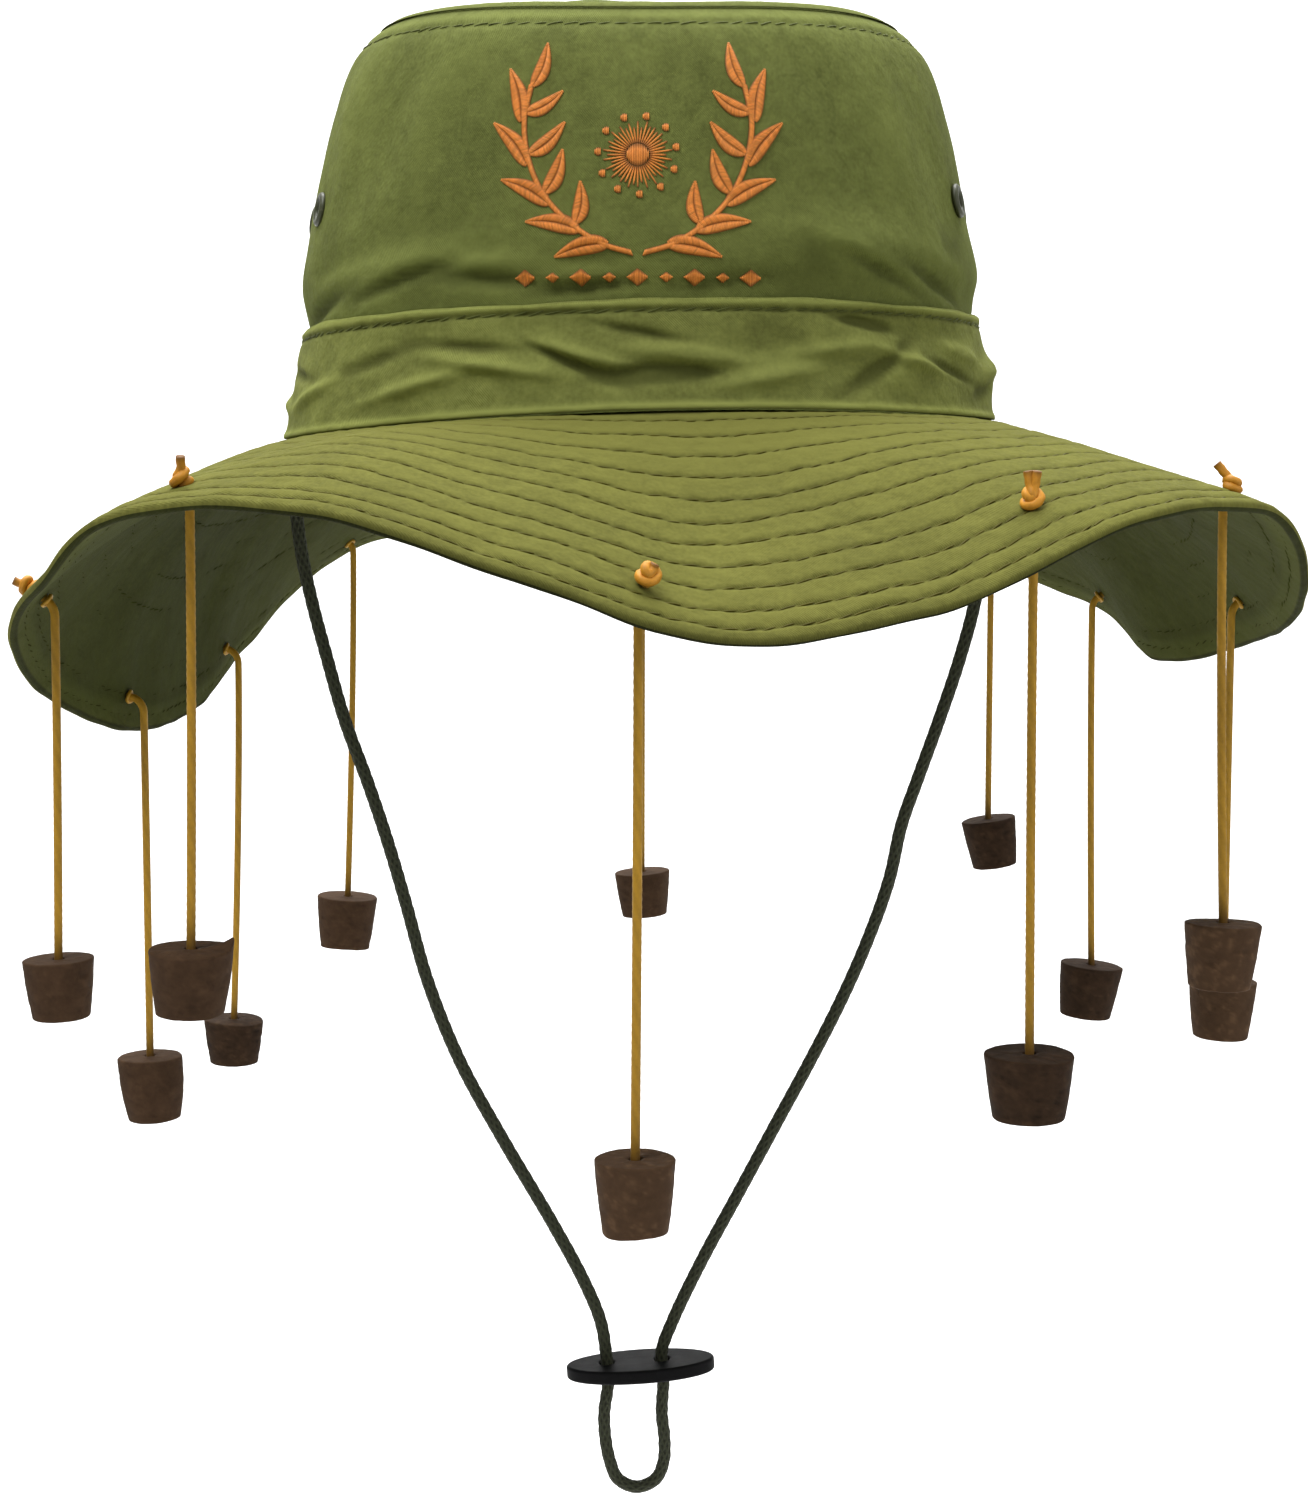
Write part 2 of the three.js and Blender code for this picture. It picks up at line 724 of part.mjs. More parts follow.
// The smooth line of the chin cord through its chosen points, straight in the slide's holes
function chinPoints() {
  const leftEnd = chinExit(-1);
  const rightEnd = chinExit(1);
  const lift = toggleHeight;
  const route = [
    { x: leftEnd.x, z: leftEnd.z },
    { x: leftEnd.x, z: leftEnd.z - chinLead },
    ...chinLeft,
    togglePass(-1, lift),
    togglePass(-1, -lift),
    ...chinLoop,
    togglePass(1, -lift),
    togglePass(1, lift),
    ...chinRight,
    { x: rightEnd.x, z: rightEnd.z - chinLead },
    { x: rightEnd.x, z: rightEnd.z },
  ];
  const knots = route.map(({ x, z }) => new THREE.Vector3(x, leftEnd.y, z));
  const curve = new THREE.CatmullRomCurve3(knots, false, 'centripetal');
  const spans = knots.length - 1;
  const points = [];
  for (let span = 0; span < spans; span += 1) {
    const rings = Math.max(1, Math.round(knots[span].distanceTo(knots[span + 1]) / chinStep));
    for (let ring = 0; ring < rings; ring += 1) points.push(curve.getPoint((span + ring / rings) / spans));
  }
  points.push(knots[spans]);
  return points;
}

// Finishes
const cloth = new THREE.MeshStandardMaterial({ color: 0x65793a, roughness: 0.9, metalness: 0 });
const brimCloth = new THREE.MeshStandardMaterial({ color: 0x7d8646, roughness: 0.9, metalness: 0 });
const eyeletFinish = new THREE.MeshStandardMaterial({ color: 0x35391f, roughness: 0.6, metalness: 0 });
const amberCord = new THREE.MeshStandardMaterial({ color: 0xb08228, roughness: 0.7, metalness: 0 });
const darkCord = new THREE.MeshStandardMaterial({ color: 0x262a1e, roughness: 0.8, metalness: 0 });
const corkFinish = new THREE.MeshStandardMaterial({ color: 0x4f382c, roughness: 0.85, metalness: 0 });
const blackPlastic = new THREE.MeshStandardMaterial({ color: 0x1c1c1e, roughness: 0.4, metalness: 0 });

// A named mesh in the hat's frame
function piece(name, geometry, material) {
  const mesh = new THREE.Mesh(geometry, material);
  mesh.name = name;
  return mesh;
}

// Cord, knot and cork of one place round the brim
function hangingCork(row) {
  const group = new THREE.Group();
  const { points, normal } = cordRoute(row);
  group.add(piece(`cord_${row.name}`, cordGeometry(points, cordDiameter), amberCord));

  const knot = piece(`knot_${row.name}`, knotGeometry(), amberCord);
  knot.applyMatrix4(placement(points[0].clone().addScaledVector(normal, clearance), normal));
  group.add(knot);

  const cork = piece(`cork_${row.name}`, corkGeometry(row), corkFinish);
  cork.applyMatrix4(placement(points[points.length - 2], corkAxis(row)));
  group.add(cork);
  return group;
}

const hat = new THREE.Group();
hat.add(piece('crown_tip', crownTipGeometry(), cloth));
hat.add(piece('crown_side', crownSideGeometry(), cloth));
hat.add(piece('crown_band', bandGeometry(), cloth));
hat.add(piece('brim', brimGeometry(), brimCloth));

for (const { name, place, direction } of eyeletPlaces()) {
  const ring = piece(name, eyeletGeometry(), eyeletFinish);
  ring.applyMatrix4(placement(place.clone().addScaledVector(direction, clearance), direction));
  hat.add(ring);
}

for (const row of corkRows) hat.add(hangingCork(row));

hat.add(piece('chin_cord', cordGeometry(chinPoints(), chinDiameter), darkCord));

const toggle = piece('toggle', toggleGeometry(), blackPlastic);
toggle.position.set(toggleX, chinExit(1).y, toggleZ);
toggle.rotation.y = -rad(toggleLean);
hat.add(toggle);

export default hat;
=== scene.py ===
"""A cork hat: an olive cloth crown and a wide stitched brim, twelve corks that hang from the brim
on cords, and a chin cord with a flat slide. Lengths are in metres, angles in degrees. An azimuth
is an angle round the hat: 0 is the front (-Y) and 90 the side at +X."""

import math
from collections import namedtuple
from contextlib import contextmanager

import bmesh
import bpy
import numpy as np
from mathutils import Matrix, Vector, noise


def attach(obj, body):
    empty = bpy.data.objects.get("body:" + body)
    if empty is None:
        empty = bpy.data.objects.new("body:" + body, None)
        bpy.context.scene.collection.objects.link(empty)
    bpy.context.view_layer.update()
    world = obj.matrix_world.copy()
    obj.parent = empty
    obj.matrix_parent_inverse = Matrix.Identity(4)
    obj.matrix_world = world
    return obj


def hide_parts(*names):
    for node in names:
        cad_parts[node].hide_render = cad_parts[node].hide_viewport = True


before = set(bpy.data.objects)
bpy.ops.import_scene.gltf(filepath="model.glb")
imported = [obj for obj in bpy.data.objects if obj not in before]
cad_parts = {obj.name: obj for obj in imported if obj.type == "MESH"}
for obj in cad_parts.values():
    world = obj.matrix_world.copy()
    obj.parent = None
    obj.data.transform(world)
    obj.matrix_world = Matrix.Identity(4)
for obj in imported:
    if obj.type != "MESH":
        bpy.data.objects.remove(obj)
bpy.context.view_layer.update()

bl_info = {
    "name": "Cork hat",
    "version": (1, 0, 0),
    "blender": (4, 5, 0),
    "location": "3D View > Sidebar > Cork hat",
    "description": "Builds a cloth hat with a stitched brim, hanging corks and a chin cord",
    "category": "Object",
}

BODY = "root"
MM = 0.001

# Gap between pieces that touch
CLEARANCE = 0.3 * MM

# Base seam and tip of the crown
BASE_SAG = 4 * MM
BASE_LEAN = 2.5 * MM
SEAM_SIDE_RISE = 1.2 * MM
SEAM_FRONT_DIP = 1.9 * MM
TIP_RISE = 4.2 * MM
FOLD_FADE = 0.125
DENT_DEPTH = 2 * MM

# Half width of the crown as a share of the head opening, by the share of the crown's height
ProfileRow = namedtuple("ProfileRow", "rise width")
CROWN_PROFILE = [ProfileRow(*row) for row in (
    (0, 1), (0.12, 0.978), (0.25, 0.956), (0.38, 0.964), (0.5, 0.938), (0.62, 0.913),
    (0.74, 0.884), (0.86, 0.845), (0.94, 0.802), (1, 0.735),
)]

# Dents (negative) and swells of the crown's wall: depth is a share of the usual dent, reach is in
# degrees, height in shares of the crown's height, and lean turns the fold
Fold = namedtuple("Fold", "azimuth rise reach height lean depth")
CROWN_FOLDS = [Fold(*row) for row in (
    (-62, 0.36, 24, 0.06, 0.004, -1.1), (-30, 0.4, 11, 0.07, 0, -0.9),
    (-8, 0.36, 10, 0.05, 0, -0.6), (38, 0.42, 14, 0.06, -0.002, 0.8),
    (62, 0.34, 16, 0.05, -0.003, -0.8), (84, 0.1, 10, 0.06, 0, 0.9),
    (20, 0.12, 16, 0.06, 0.001, -0.7), (52, 0.2, 14, 0.05, -0.002, -0.65),
    (-95, 0.55, 16, 0.2, 0, 0.6), (150, 0.45, 20, 0.08, 0.002, -0.8),
)]

# Slope of the brim below level, where it leaves the band and at its edge
SlopeRow = namedtuple("SlopeRow", "azimuth slope_in slope_out")
BRIM_SLOPES = [SlopeRow(*row) for row in (
    (-165, 20, 30), (-150, 17, 27), (-130, 20, 67), (-112, 29, 89), (-90, 30, 90), (-72, 17, 73),
    (-56, 7, 48), (-48, 6, 37), (-38, 5, 20), (-23, 7, 14.3), (-8, 16, 23.5), (6, 24, 35),
    (20, 19, 33), (34, 12, 16.5), (50, 8, 18), (68, 12, 45.5), (88, 18, 60), (106, 25, 69),
    (125, 23, 48), (150, 24, 27), (172, 24, 32),
)]

# Hanging cords: turn is the azimuth of the hole, inset its distance from the brim's edge as a
# share of its width, hang the drop to the cork's top as a share of the usual drop, sway how far
# the cork hangs to +X of the hole as a share of a cork's width. wide and tall are shares of the
# usual cork and tilt turns it. tails is the number of cord ends that stand out of the knot,
# tail_turn the azimuth that they lean to and tail their length in cord diameters
CorkRow = namedtuple("CorkRow", "name turn inset hang sway wide tall tilt tails tail_turn tail")
CORK_ROWS = [CorkRow(*row) for row in (
    ("front", 0.7, 0.141, 1.156, -0.04, 0.97, 1.01, 0, 1, 170, 0.55),
    ("right_front", 30.3, 0.196, 1.13, 0.05, 1.1, 0.89, 0, 2, 150, 2.1),
    ("right", 49.8, 0.13, 0.933, 0.13, 0.98, 0.93, 2, 1, -90, 1.7),
    ("right_side", 83.5, 0.13, 0.984, 0.02, 1, 0.94, 2, 1, 150, 0.4),
    ("right_rear", 118, 0.13, 1.09, 0.1, 1.04, 0.98, 6, 1, 100, 1.3),
    ("back_right", 137, 0.13, 0.827, 0.01, 0.96, 0.95, -9, 2, 20, 1.5),
    ("back", 180, 0.13, 1.093, -0.01, 1.04, 0.92, -4, 1, -60, 1.2),
    ("back_left", -145, 0.13, 1.126, -0.18, 1.1, 1.06, 4, 1, 80, 1.6),
    ("left_rear", -118.4, 0.13, 1.09, -0.18, 0.98, 0.83, 1, 2, -30, 1.7),
    ("left_side", -87.3, 0.1, 0.953, -0.02, 0.96, 1.08, -3, 1, 180, 0.4),
    ("left", -58, 0.12, 0.833, -0.07, 0.95, 0.88, -2, 1, -40, 1.2),
    ("left_front", -33.8, 0.152, 0.943, -0.09, 1.02, 0.9, 2, 1, 60, 1.7),
)]
CORK_DROP = 100 * MM
CORD_BEND = 4.2 * MM
CORD_LEAD = 0.8 * MM
CORD_LAY = 1.8 * MM
CORK_BORE = 11 * MM

# The chin cord's route in its upright plane, in millimetres to the side and above the opening
CHIN_AZIMUTH = 78
CHIN_LEAD = 8 * MM
CHIN_PLAIT = 3.2 * MM
CHIN_LEFT = [
    (-86.2, -34), (-83.7, -47), (-80.2, -61), (-75.6, -78), (-70.1, -93.5), (-65.1, -109),
    (-60.6, -125), (-55, -146), (-46.9, -167), (-35.5, -188.5), (-23.2, -210), (-14.8, -226),
    (-10.4, -237),
]
CHIN_LOOP = [
    (-9.5, -262), (-9.2, -269), (-8, -275.2), (-5.9, -280.1), (-0.9, -282.3), (4.1, -280.1),
    (6.2, -275.2), (6.4, -269), (5.7, -262),
]
CHIN_RIGHT = [
    (8.5, -237), (16.2, -220.5), (26.2, -201.5), (35.9, -183), (44.3, -167), (52.2, -151),
    (59, -135), (64.3, -119.5), (67.4, -105), (71.3, -93.5), (76.7, -78), (81.7, -62.5),
    (85.6, -47), (87.2, -32),
]

# The slide on the chin cord
SLIDE_PLACE = (0.1 * MM, -249.3 * MM)
SLIDE_LEAN = 4
SLIDE_SPACING = 14.6 * MM
SLIDE_SHIFT = -1.5 * MM
SLIDE_EDGE = 0.7 * MM

# Vent eyelets
EYELET_AZIMUTH = 82
EYELET_HEIGHT = 52 * MM
EYELET_SPACING = 34 * MM
EYELET_COLUMNS = 48

# Camera, as the photograph was taken
CAMERA_PLACE = (3.65 * MM, -700 * MM, -7.16 * MM)
CAMERA_DOWN = 6.59
CAMERA_LENS = 63.97
CAMERA_SENSOR = 36


def linear(red, green, blue):
    """A colour of the screen, 0 to 255, as the linear light that a shader takes."""
    shares = [value / 255 for value in (red, green, blue)]
    return tuple(s / 12.92 if s <= 0.04045 else ((s + 0.055) / 1.055) ** 2.4 for s in shares)


def length_size(name, default, description):
    """A property that holds a length in metres."""
    return bpy.props.FloatProperty(
        name=name, description=description, default=default, min=0, precision=5, unit="LENGTH"
    )


def colour(name, red, green, blue, description):
    """A property that holds a colour."""
    return bpy.props.FloatVectorProperty(
        name=name, description=description, default=linear(red, green, blue), size=3, min=0, max=1,
        subtype="COLOR",
    )


class CorkHatSizes(bpy.types.PropertyGroup):
    """Main sizes of the hat and of what hangs from it."""

    head_half_width: length_size("Head half width", 88 * MM, "Half the width of the head opening")
    head_half_depth: length_size("Head half depth", 96.5 * MM, "Half the depth of the head opening")
    crown_height: length_size("Crown height", 93.8 * MM, "From the base seam to the tip's seam")
    crown_wall: length_size("Crown wall", 1.5 * MM, "Thickness of the crown's cloth")
    band_height: length_size("Band height", 25 * MM, "Height of the band round the crown")
    band_wall: length_size("Band wall", 1.5 * MM, "Thickness of the band's cloth")
    brim_width: length_size("Brim width", 92 * MM, "From the band to the edge, along the slope")
    brim_wall: length_size("Brim wall", 2.4 * MM, "Thickness of the stitched brim")
    eyelet_hole: length_size("Eyelet hole", 4.5 * MM, "Width of a vent hole")
    eyelet_outer: length_size("Eyelet width", 8.5 * MM, "Width of a vent's ring")
    cord_diameter: length_size("Cord diameter", 2 * MM, "Thickness of the corks' cords")
    cork_top: length_size("Cork width", 17.5 * MM, "Width of a cork at its top")
    cork_foot: length_size("Cork foot width", 14.2 * MM, "Width of a cork at its foot")
    cork_height: length_size("Cork height", 15.8 * MM, "Height of a cork")
    chin_diameter: length_size("Chin cord diameter", 3.3 * MM, "Thickness of the chin cord")
    slide_length: length_size("Slide length", 39 * MM, "Length of the oval slide")
    slide_depth: length_size("Slide depth", 18 * MM, "Depth of the oval slide")
    slide_height: length_size("Slide height", 3.6 * MM, "Thickness of the oval slide")


class CorkHatSewing(bpy.types.PropertyGroup):
    """Stitches and embroidery threads."""

    stitch_pitch: length_size("Stitch pitch", 3.9 * MM, "From one stitch to the next")
    stitch_length: length_size("Stitch length", 3.5 * MM, "Length of a stitch that shows")
    thread: length_size("Thread", 0.44 * MM, "Thickness of the sewing thread")
    groove: length_size("Groove", 0.42 * MM, "How deep a row of stitches pulls the cloth in")
    motif_thread: length_size("Motif thread", 0.42 * MM, "Thickness of the embroidery thread")
    motif_pad: length_size("Motif padding", 0.55 * MM, "How far the satin stitches stand up")


class CorkHatColours(bpy.types.PropertyGroup):
    """Colours of the finishes."""

    crown: colour("Crown", 103, 110, 57, "Cloth of the crown")
    # The band is painted lighter than the crown's cloth, as painted light on its front, which faces
    # the light
    band: colour("Band", 120, 125, 66, "Cloth of the band round the crown")
    brim: colour("Brim", 104, 104, 50, "Cloth of the brim's upper face")
    # The brim's own cloth with painted shade, darker than its upper face
    shaded_underside: colour("Underside", 50, 53, 22, "Cloth of the brim's lower face")
    stitch: colour("Stitching", 84, 80, 27, "Thread of the brim's rows")
    motif: colour("Motif", 226, 140, 58, "Embroidery thread")
    cord: colour("Cork cord", 176, 133, 32, "Waxed cord of the corks")
    # The knots are the corks' cord painted lighter, as painted light where they lie on the brim's
    # upper face
    knot: colour("Knots", 212, 146, 44, "Knots of the corks' cords")
    cork: colour("Cork", 67, 49, 34, "Cork")
    chin: colour("Chin cord", 56, 59, 43, "Braided chin cord")
    slide: colour("Slide", 7, 7, 8, "Moulded slide")
    eyelet: colour("Eyelet", 58, 62, 36, "Painted vent rings")


def sizes():
    """The hat's sizes in this scene."""
    return bpy.context.scene.cork_hat_sizes


def sewing():
    """The hat's stitch sizes in this scene."""
    return bpy.context.scene.cork_hat_sewing


def colours():
    """The hat's colours in this scene."""
    return bpy.context.scene.cork_hat_colours


# Shape of the crown and the brim


def eased(share, start, leave, end, arrive):
    """The cubic curve from start to end, by the changes with which it leaves and arrives."""
    square = share * share
    cube = square * share
    return (
        (2 * cube - 3 * square + 1) * start
        + (cube - 2 * square + share) * leave
        + (3 * square - 2 * cube) * end
        + (cube - square) * arrive
    )


def smooth_column(keys, values, place):
    """The smooth value of a table's column. keys and values have a spare row at each end."""
    index = np.clip(np.searchsorted(keys, place, side="right") - 1, 1, len(keys) - 3)
    before, start, end, after = (keys[index + step] for step in (-1, 0, 1, 2))
    value_before, value_start, value_end, value_after = (values[index + s] for s in (-1, 0, 1, 2))
    span = end - start
    leave = span * (value_end - value_before) / (end - before)
    arrive = span * (value_after - value_start) / (after - start)
    return eased((place - start) / span, value_start, leave, value_end, arrive)


def round_column(rows, name, azimuth):
    """A column of a table that goes all round the hat, at any azimuth."""
    keys = np.array([row.azimuth for row in rows], float)
    values = np.array([getattr(row, name) for row in rows], float)
    keys = np.concatenate([[keys[-1] - 360], keys, keys[:2] + 360])
    values = np.concatenate([values[-1:], values, values[:2]])
    turn = (np.asarray(azimuth, float) - keys[1]) % 360 + keys[1]
    return smooth_column(keys, values, turn)


def crown_share(rise):
    """Half width of the crown as a share of the opening, by rise: 0 at the base, 1 at the top."""
    keys = np.array([row.rise for row in CROWN_PROFILE])
    values = np.array([row.width for row in CROWN_PROFILE])
    keys = np.concatenate([keys[:1], keys, keys[-1:]])
    values = np.concatenate([values[:1], values, values[-1:]])
    return smooth_column(keys, values, np.asarray(rise, float))


def outward(azimuth):
    """Level unit vectors that point outwards."""
    angle = np.radians(np.asarray(azimuth, float))
    return np.stack([np.sin(angle), -np.cos(angle), np.zeros_like(angle)], axis=-1)


def oval_place(azimuth, half_width, half_depth, level):
    """Points of an oval round the hat, by its half sizes and its height."""
    way = outward(azimuth)
    return np.stack([way[..., 0] * half_width, way[..., 1] * half_depth, level], axis=-1)


def turn_from(start, azimuth):
    """The turn from one azimuth to others, from -180 to 180."""
    return (azimuth - start + 180) % 360 - 180


def base_level(azimuth):
    """Height of the base seam, which dips at the sides and leans a little."""
    side = np.sin(np.radians(azimuth))
    return BASE_LEAN * side - BASE_SAG * side**2


def seam_level(azimuth, share=1):
    """Height of the seam between the crown's side and its tip, or of the panel inside it."""
    side = np.sin(np.radians(azimuth)) * share
    front = np.clip(np.cos(np.radians(azimuth)), 0, 1) ** 6 * share**2
    return sizes().crown_height + SEAM_SIDE_RISE * side**2 - SEAM_FRONT_DIP * front


def folds_at(folds, azimuth, rise):
    """How far cloth swells (or dents, below zero) at a place, from a table of folds."""
    depth = 0
    for fold in folds:
        turn = turn_from(fold.azimuth, azimuth)
        across = (rise - fold.rise - fold.lean * turn) / fold.height
        along = turn / fold.reach
        depth = depth + DENT_DEPTH * fold.depth * np.exp(-along * along - across * across)
    return depth


def crown_place(azimuth, rise, outset):
    """Points of the crown's wall, outset by so much from its inner face."""
    form = sizes()
    azimuth, rise = np.broadcast_arrays(np.asarray(azimuth, float), np.asarray(rise, float))
    low = base_level(azimuth)
    level = low + (seam_level(azimuth) - low) * rise
    share = crown_share(rise)
    fade = np.clip(np.minimum(rise, 1 - rise) / FOLD_FADE, 0, 1)
    out = outset + folds_at(CROWN_FOLDS, azimuth, rise) * fade
    half_width = form.head_half_width * share + out
    return oval_place(azimuth, half_width, form.head_half_depth * share + out, level)


def brim_place(azimuth, share, depth):
    """Points of the brim: share 0 is at the band and 1 at the edge, depth is down through it."""
    form = sizes()
    azimuth, share, depth = np.broadcast_arrays(
        np.asarray(azimuth, float), np.asarray(share, float), np.asarray(depth, float)
    )
    start = np.radians(round_column(BRIM_SLOPES, "slope_in", azimuth))
    turn = np.radians(round_column(BRIM_SLOPES, "slope_out", azimuth)) - start
    here = start + turn * share
    bend = form.brim_width / turn
    drop = bend * (np.cos(start) - np.cos(here))
    out = form.crown_wall + CLEARANCE + form.band_wall + bend * (np.sin(here) - np.sin(start))
    place = oval_place(azimuth, form.head_half_width + out, form.head_half_depth + out,
                       base_level(azimuth) - CLEARANCE - drop)
    up = outward(azimuth) * np.sin(here)[..., None]
    up[..., 2] = np.cos(here)
    return place - up * depth[..., None]


def brim_facing(azimuth, share):
    """The way that the brim's upper face looks, with its waves taken into account."""
    along = brim_place(azimuth + 2, share, 0) - brim_place(azimuth - 2, share, 0)
    down = brim_place(azimuth, share + 0.02, 0) - brim_place(azimuth, share - 0.02, 0)
    facing = np.cross(down, along)
    return facing / np.linalg.norm(facing, axis=-1, keepdims=True)


def waves(azimuth, other, terms):
    """A sum of gentle waves that closes all round: each term has laps, turn, phase and height."""
    angle = np.radians(azimuth)
    total = 0
    for laps, turn, phase, height in terms:
        total = total + height * np.sin(laps * angle + turn * other + phase)
    return total


# Meshes


def placed(name, data):
    """A new object of the scene with this data."""
    made = bpy.data.objects.new(name, data)
    bpy.context.scene.collection.objects.link(made)
    return made


def new_mesh(name, points, faces, finishes, face_finish=None, corner_maps=None, values=None):
    """An object from points and faces, with maps of its faces' corners and values of its points."""
    mesh = bpy.data.meshes.new(name)
    mesh.from_pydata(np.asarray(points).reshape(-1, 3).tolist(), [], [list(f) for f in faces])
    for finish in finishes:
        mesh.materials.append(finish)
    mesh.polygons.foreach_set("use_smooth", [True] * len(mesh.polygons))
    if face_finish is not None:
        mesh.polygons.foreach_set("material_index", np.asarray(face_finish, np.int32))
    for map_name, corners in (corner_maps or {}).items():
        layer = mesh.uv_layers.new(name=map_name)
        layer.uv.foreach_set("vector", np.asarray(corners, np.float32).ravel())
    for value_name, numbers in (values or {}).items():
        layer = mesh.attributes.new(value_name, "FLOAT", "POINT")
        layer.data.foreach_set("value", np.asarray(numbers, np.float32).ravel())
    mesh.update()
    return placed(name, mesh)


def grown_mesh(source):
    """The mesh that an object gives with its curves and modifiers, which takes its place."""
    graph = bpy.context.evaluated_depsgraph_get()
    mesh = bpy.data.meshes.new_from_object(source.evaluated_get(graph), depsgraph=graph)
    bpy.data.objects.remove(source)
    return mesh


@contextmanager
def opened(mesh):
    """A mesh opened for work on its faces, which are written back afterwards."""
    work = bmesh.new()
    work.from_mesh(mesh)
    yield work
    work.to_mesh(mesh)
    work.free()


def stepped(*spans):
    """Rising shares for the rows of a mesh, from spans of a start, an end and a number of rows."""
    parts = [np.linspace(*span, endpoint=False) for span in spans[:-1]]
    return np.concatenate([*parts, np.linspace(*spans[-1])])[None, :]


def ring_faces(columns, rows, closed):
    """The column and row of each corner of the quads between sections."""
    steps = rows if closed else rows - 1
    column, row = np.meshgrid(np.arange(columns), np.arange(steps), indexing="ij")
    column, row = column.ravel(), row.ravel()
    corner_column = np.stack([column, column, column + 1, column + 1], axis=1)
    corner_row = np.stack([row, row + 1, row + 1, row], axis=1)
    return corner_column, corner_row


def ring_body(name, sections, maps, finishes, row_finish=None, values=None, poles=None):
    """A closed body from sections (columns, rows, 3) that go all round, with a map (columns + 1,
    rows, 2). With poles, the sections are open lines that run from the first pole to the second,
    in one finish."""
    columns, rows = sections.shape[:2]
    corner_column, corner_row = ring_faces(columns, rows, poles is None)
    faces = ((corner_column % columns) * rows + corner_row % rows).tolist()
    corners = maps[corner_column, corner_row % rows].reshape(-1, 2)
    points = sections.reshape(-1, 3)
    face_finish = None if row_finish is None else np.asarray(row_finish)[corner_row[:, 0]]
    numbers = {key: value.ravel() for key, value in (values or {}).items()}
    if poles is not None:
        points = np.concatenate([points, poles])
        fan = []
        for column in range(columns):
            after = (column + 1) % columns
            faces.append([len(points) - 2, column * rows, after * rows])
            faces.append([len(points) - 1, after * rows + rows - 1, column * rows + rows - 1])
            fan += [poles[0][:2], maps[column, 0], maps[column + 1, 0]]
            fan += [poles[1][:2], maps[column + 1, -1], maps[column, -1]]
        corners = np.concatenate([corners, fan])
        numbers = {key: np.append(value, [0, 0]) for key, value in numbers.items()}
    return new_mesh(name, points, faces, finishes, face_finish, {"cloth": corners}, numbers)


def travelling_frames(path):
    """For each point of a path, its direction and two directions across it that don't twist."""
    ahead = np.gradient(path, axis=0)
    ahead /= np.linalg.norm(ahead, axis=1, keepdims=True)
    side = np.cross(ahead[0], (0, 1, 0.1))
    across = []
    for direction in ahead:
        side = side - direction * side.dot(direction)
        side = side / np.linalg.norm(side)
        across.append(side)
    across = np.array(across)
    return ahead, across, np.cross(ahead, across)


def distances(path):
    """How far along a path each of its points is."""
    return np.concatenate([[0], np.cumsum(np.linalg.norm(np.diff(path, axis=0), axis=1))])


def spaced_path(path, step):
    """The path again, with its points evenly spaced about a step apart."""
    along = distances(path)
    count = max(3, int(round(along[-1] / step)) + 1)
    places = np.linspace(0, along[-1], count)
    return np.stack([np.interp(places, along, path[:, axis]) for axis in range(3)], axis=1)


def curved_path(knots, steps):
    """A smooth line through points: the centripetal Catmull-Rom curve, with so many steps each."""
    knots = np.asarray(knots, float)
    padded = np.concatenate([[2 * knots[0] - knots[1]], knots, [2 * knots[-1] - knots[-2]]])
    line = []
    for a, b, c, d in zip(padded, padded[1:], padded[2:], padded[3:]):
        gaps = [math.sqrt(np.linalg.norm(end - start)) for start, end in ((a, b), (b, c), (c, d))]
        leave = (b - a) / gaps[0] - (c - a) / (gaps[0] + gaps[1]) + (c - b) / gaps[1]
        reach = (c - b) / gaps[1] - (d - b) / (gaps[1] + gaps[2]) + (d - c) / gaps[2]
        for share in np.arange(steps) / steps:
            line.append(eased(share, b, leave * gaps[1], c, reach * gaps[1]))
    line.append(knots[-1])
    return np.array(line)


def tube(name, path, radius_at, sides, finish, painted_shade_and_dirt=None):
    """A closed tube along a path, its radius given for each distance along and angle round, with
    how darkened it is at each point of the path: painted shade, and darker tips."""
    across, other = (way[:, None] for way in travelling_frames(path)[1:])
    along = distances(path)
    angle = 2 * np.pi * np.arange(sides) / sides
    radius = radius_at(along[:, None], angle[None, :])
    ring = across * np.cos(angle)[None, :, None] + other * np.sin(angle)[None, :, None]
    points = (path[:, None] + ring * radius[..., None]).reshape(-1, 3)
    points = np.concatenate([points, path[:1], path[-1:]])
    row, side = ring_faces(len(path) - 1, sides, True)
    faces = (row * sides + side % sides).tolist()
    corners = np.stack([along[row], side / sides], axis=-1).reshape(-1, 2)
    last = (len(path) - 1) * sides
    for side in range(sides):
        after = (side + 1) % sides
        faces.append([len(points) - 2, after, side])
        faces.append([len(points) - 1, last + side, last + after])
    ends = ([(0, 0)] * 3 + [(along[-1], 0)] * 3) * sides
    corners = np.concatenate([corners, ends])
    stain_and_shade = np.zeros(len(path)) if painted_shade_and_dirt is None else painted_shade_and_dirt
    stain_and_shade = np.concatenate([np.repeat(stain_and_shade, sides), stain_and_shade[:1], stain_and_shade[-1:]])
    return new_mesh(name, points, faces, [finish], None, {"cloth": corners}, {"painted_shade_and_dirt": stain_and_shade})


def joined(name, parts):
    """One object from several, with their places in its mesh."""
    bpy.ops.object.select_all(action="DESELECT")
    for part in parts:
        part.select_set(True)
    bpy.context.view_layer.objects.active = parts[0]
    bpy.ops.object.join()
    parts[0].name = name
    parts[0].data.name = name
    return parts[0]


def finished(made, slot, *nodes):
    """A piece that rides on the hat, with the solids that it stands for. Its slot is not used."""
    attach(made, BODY)
    if nodes:
        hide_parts(*nodes)
    return made


# Node trees


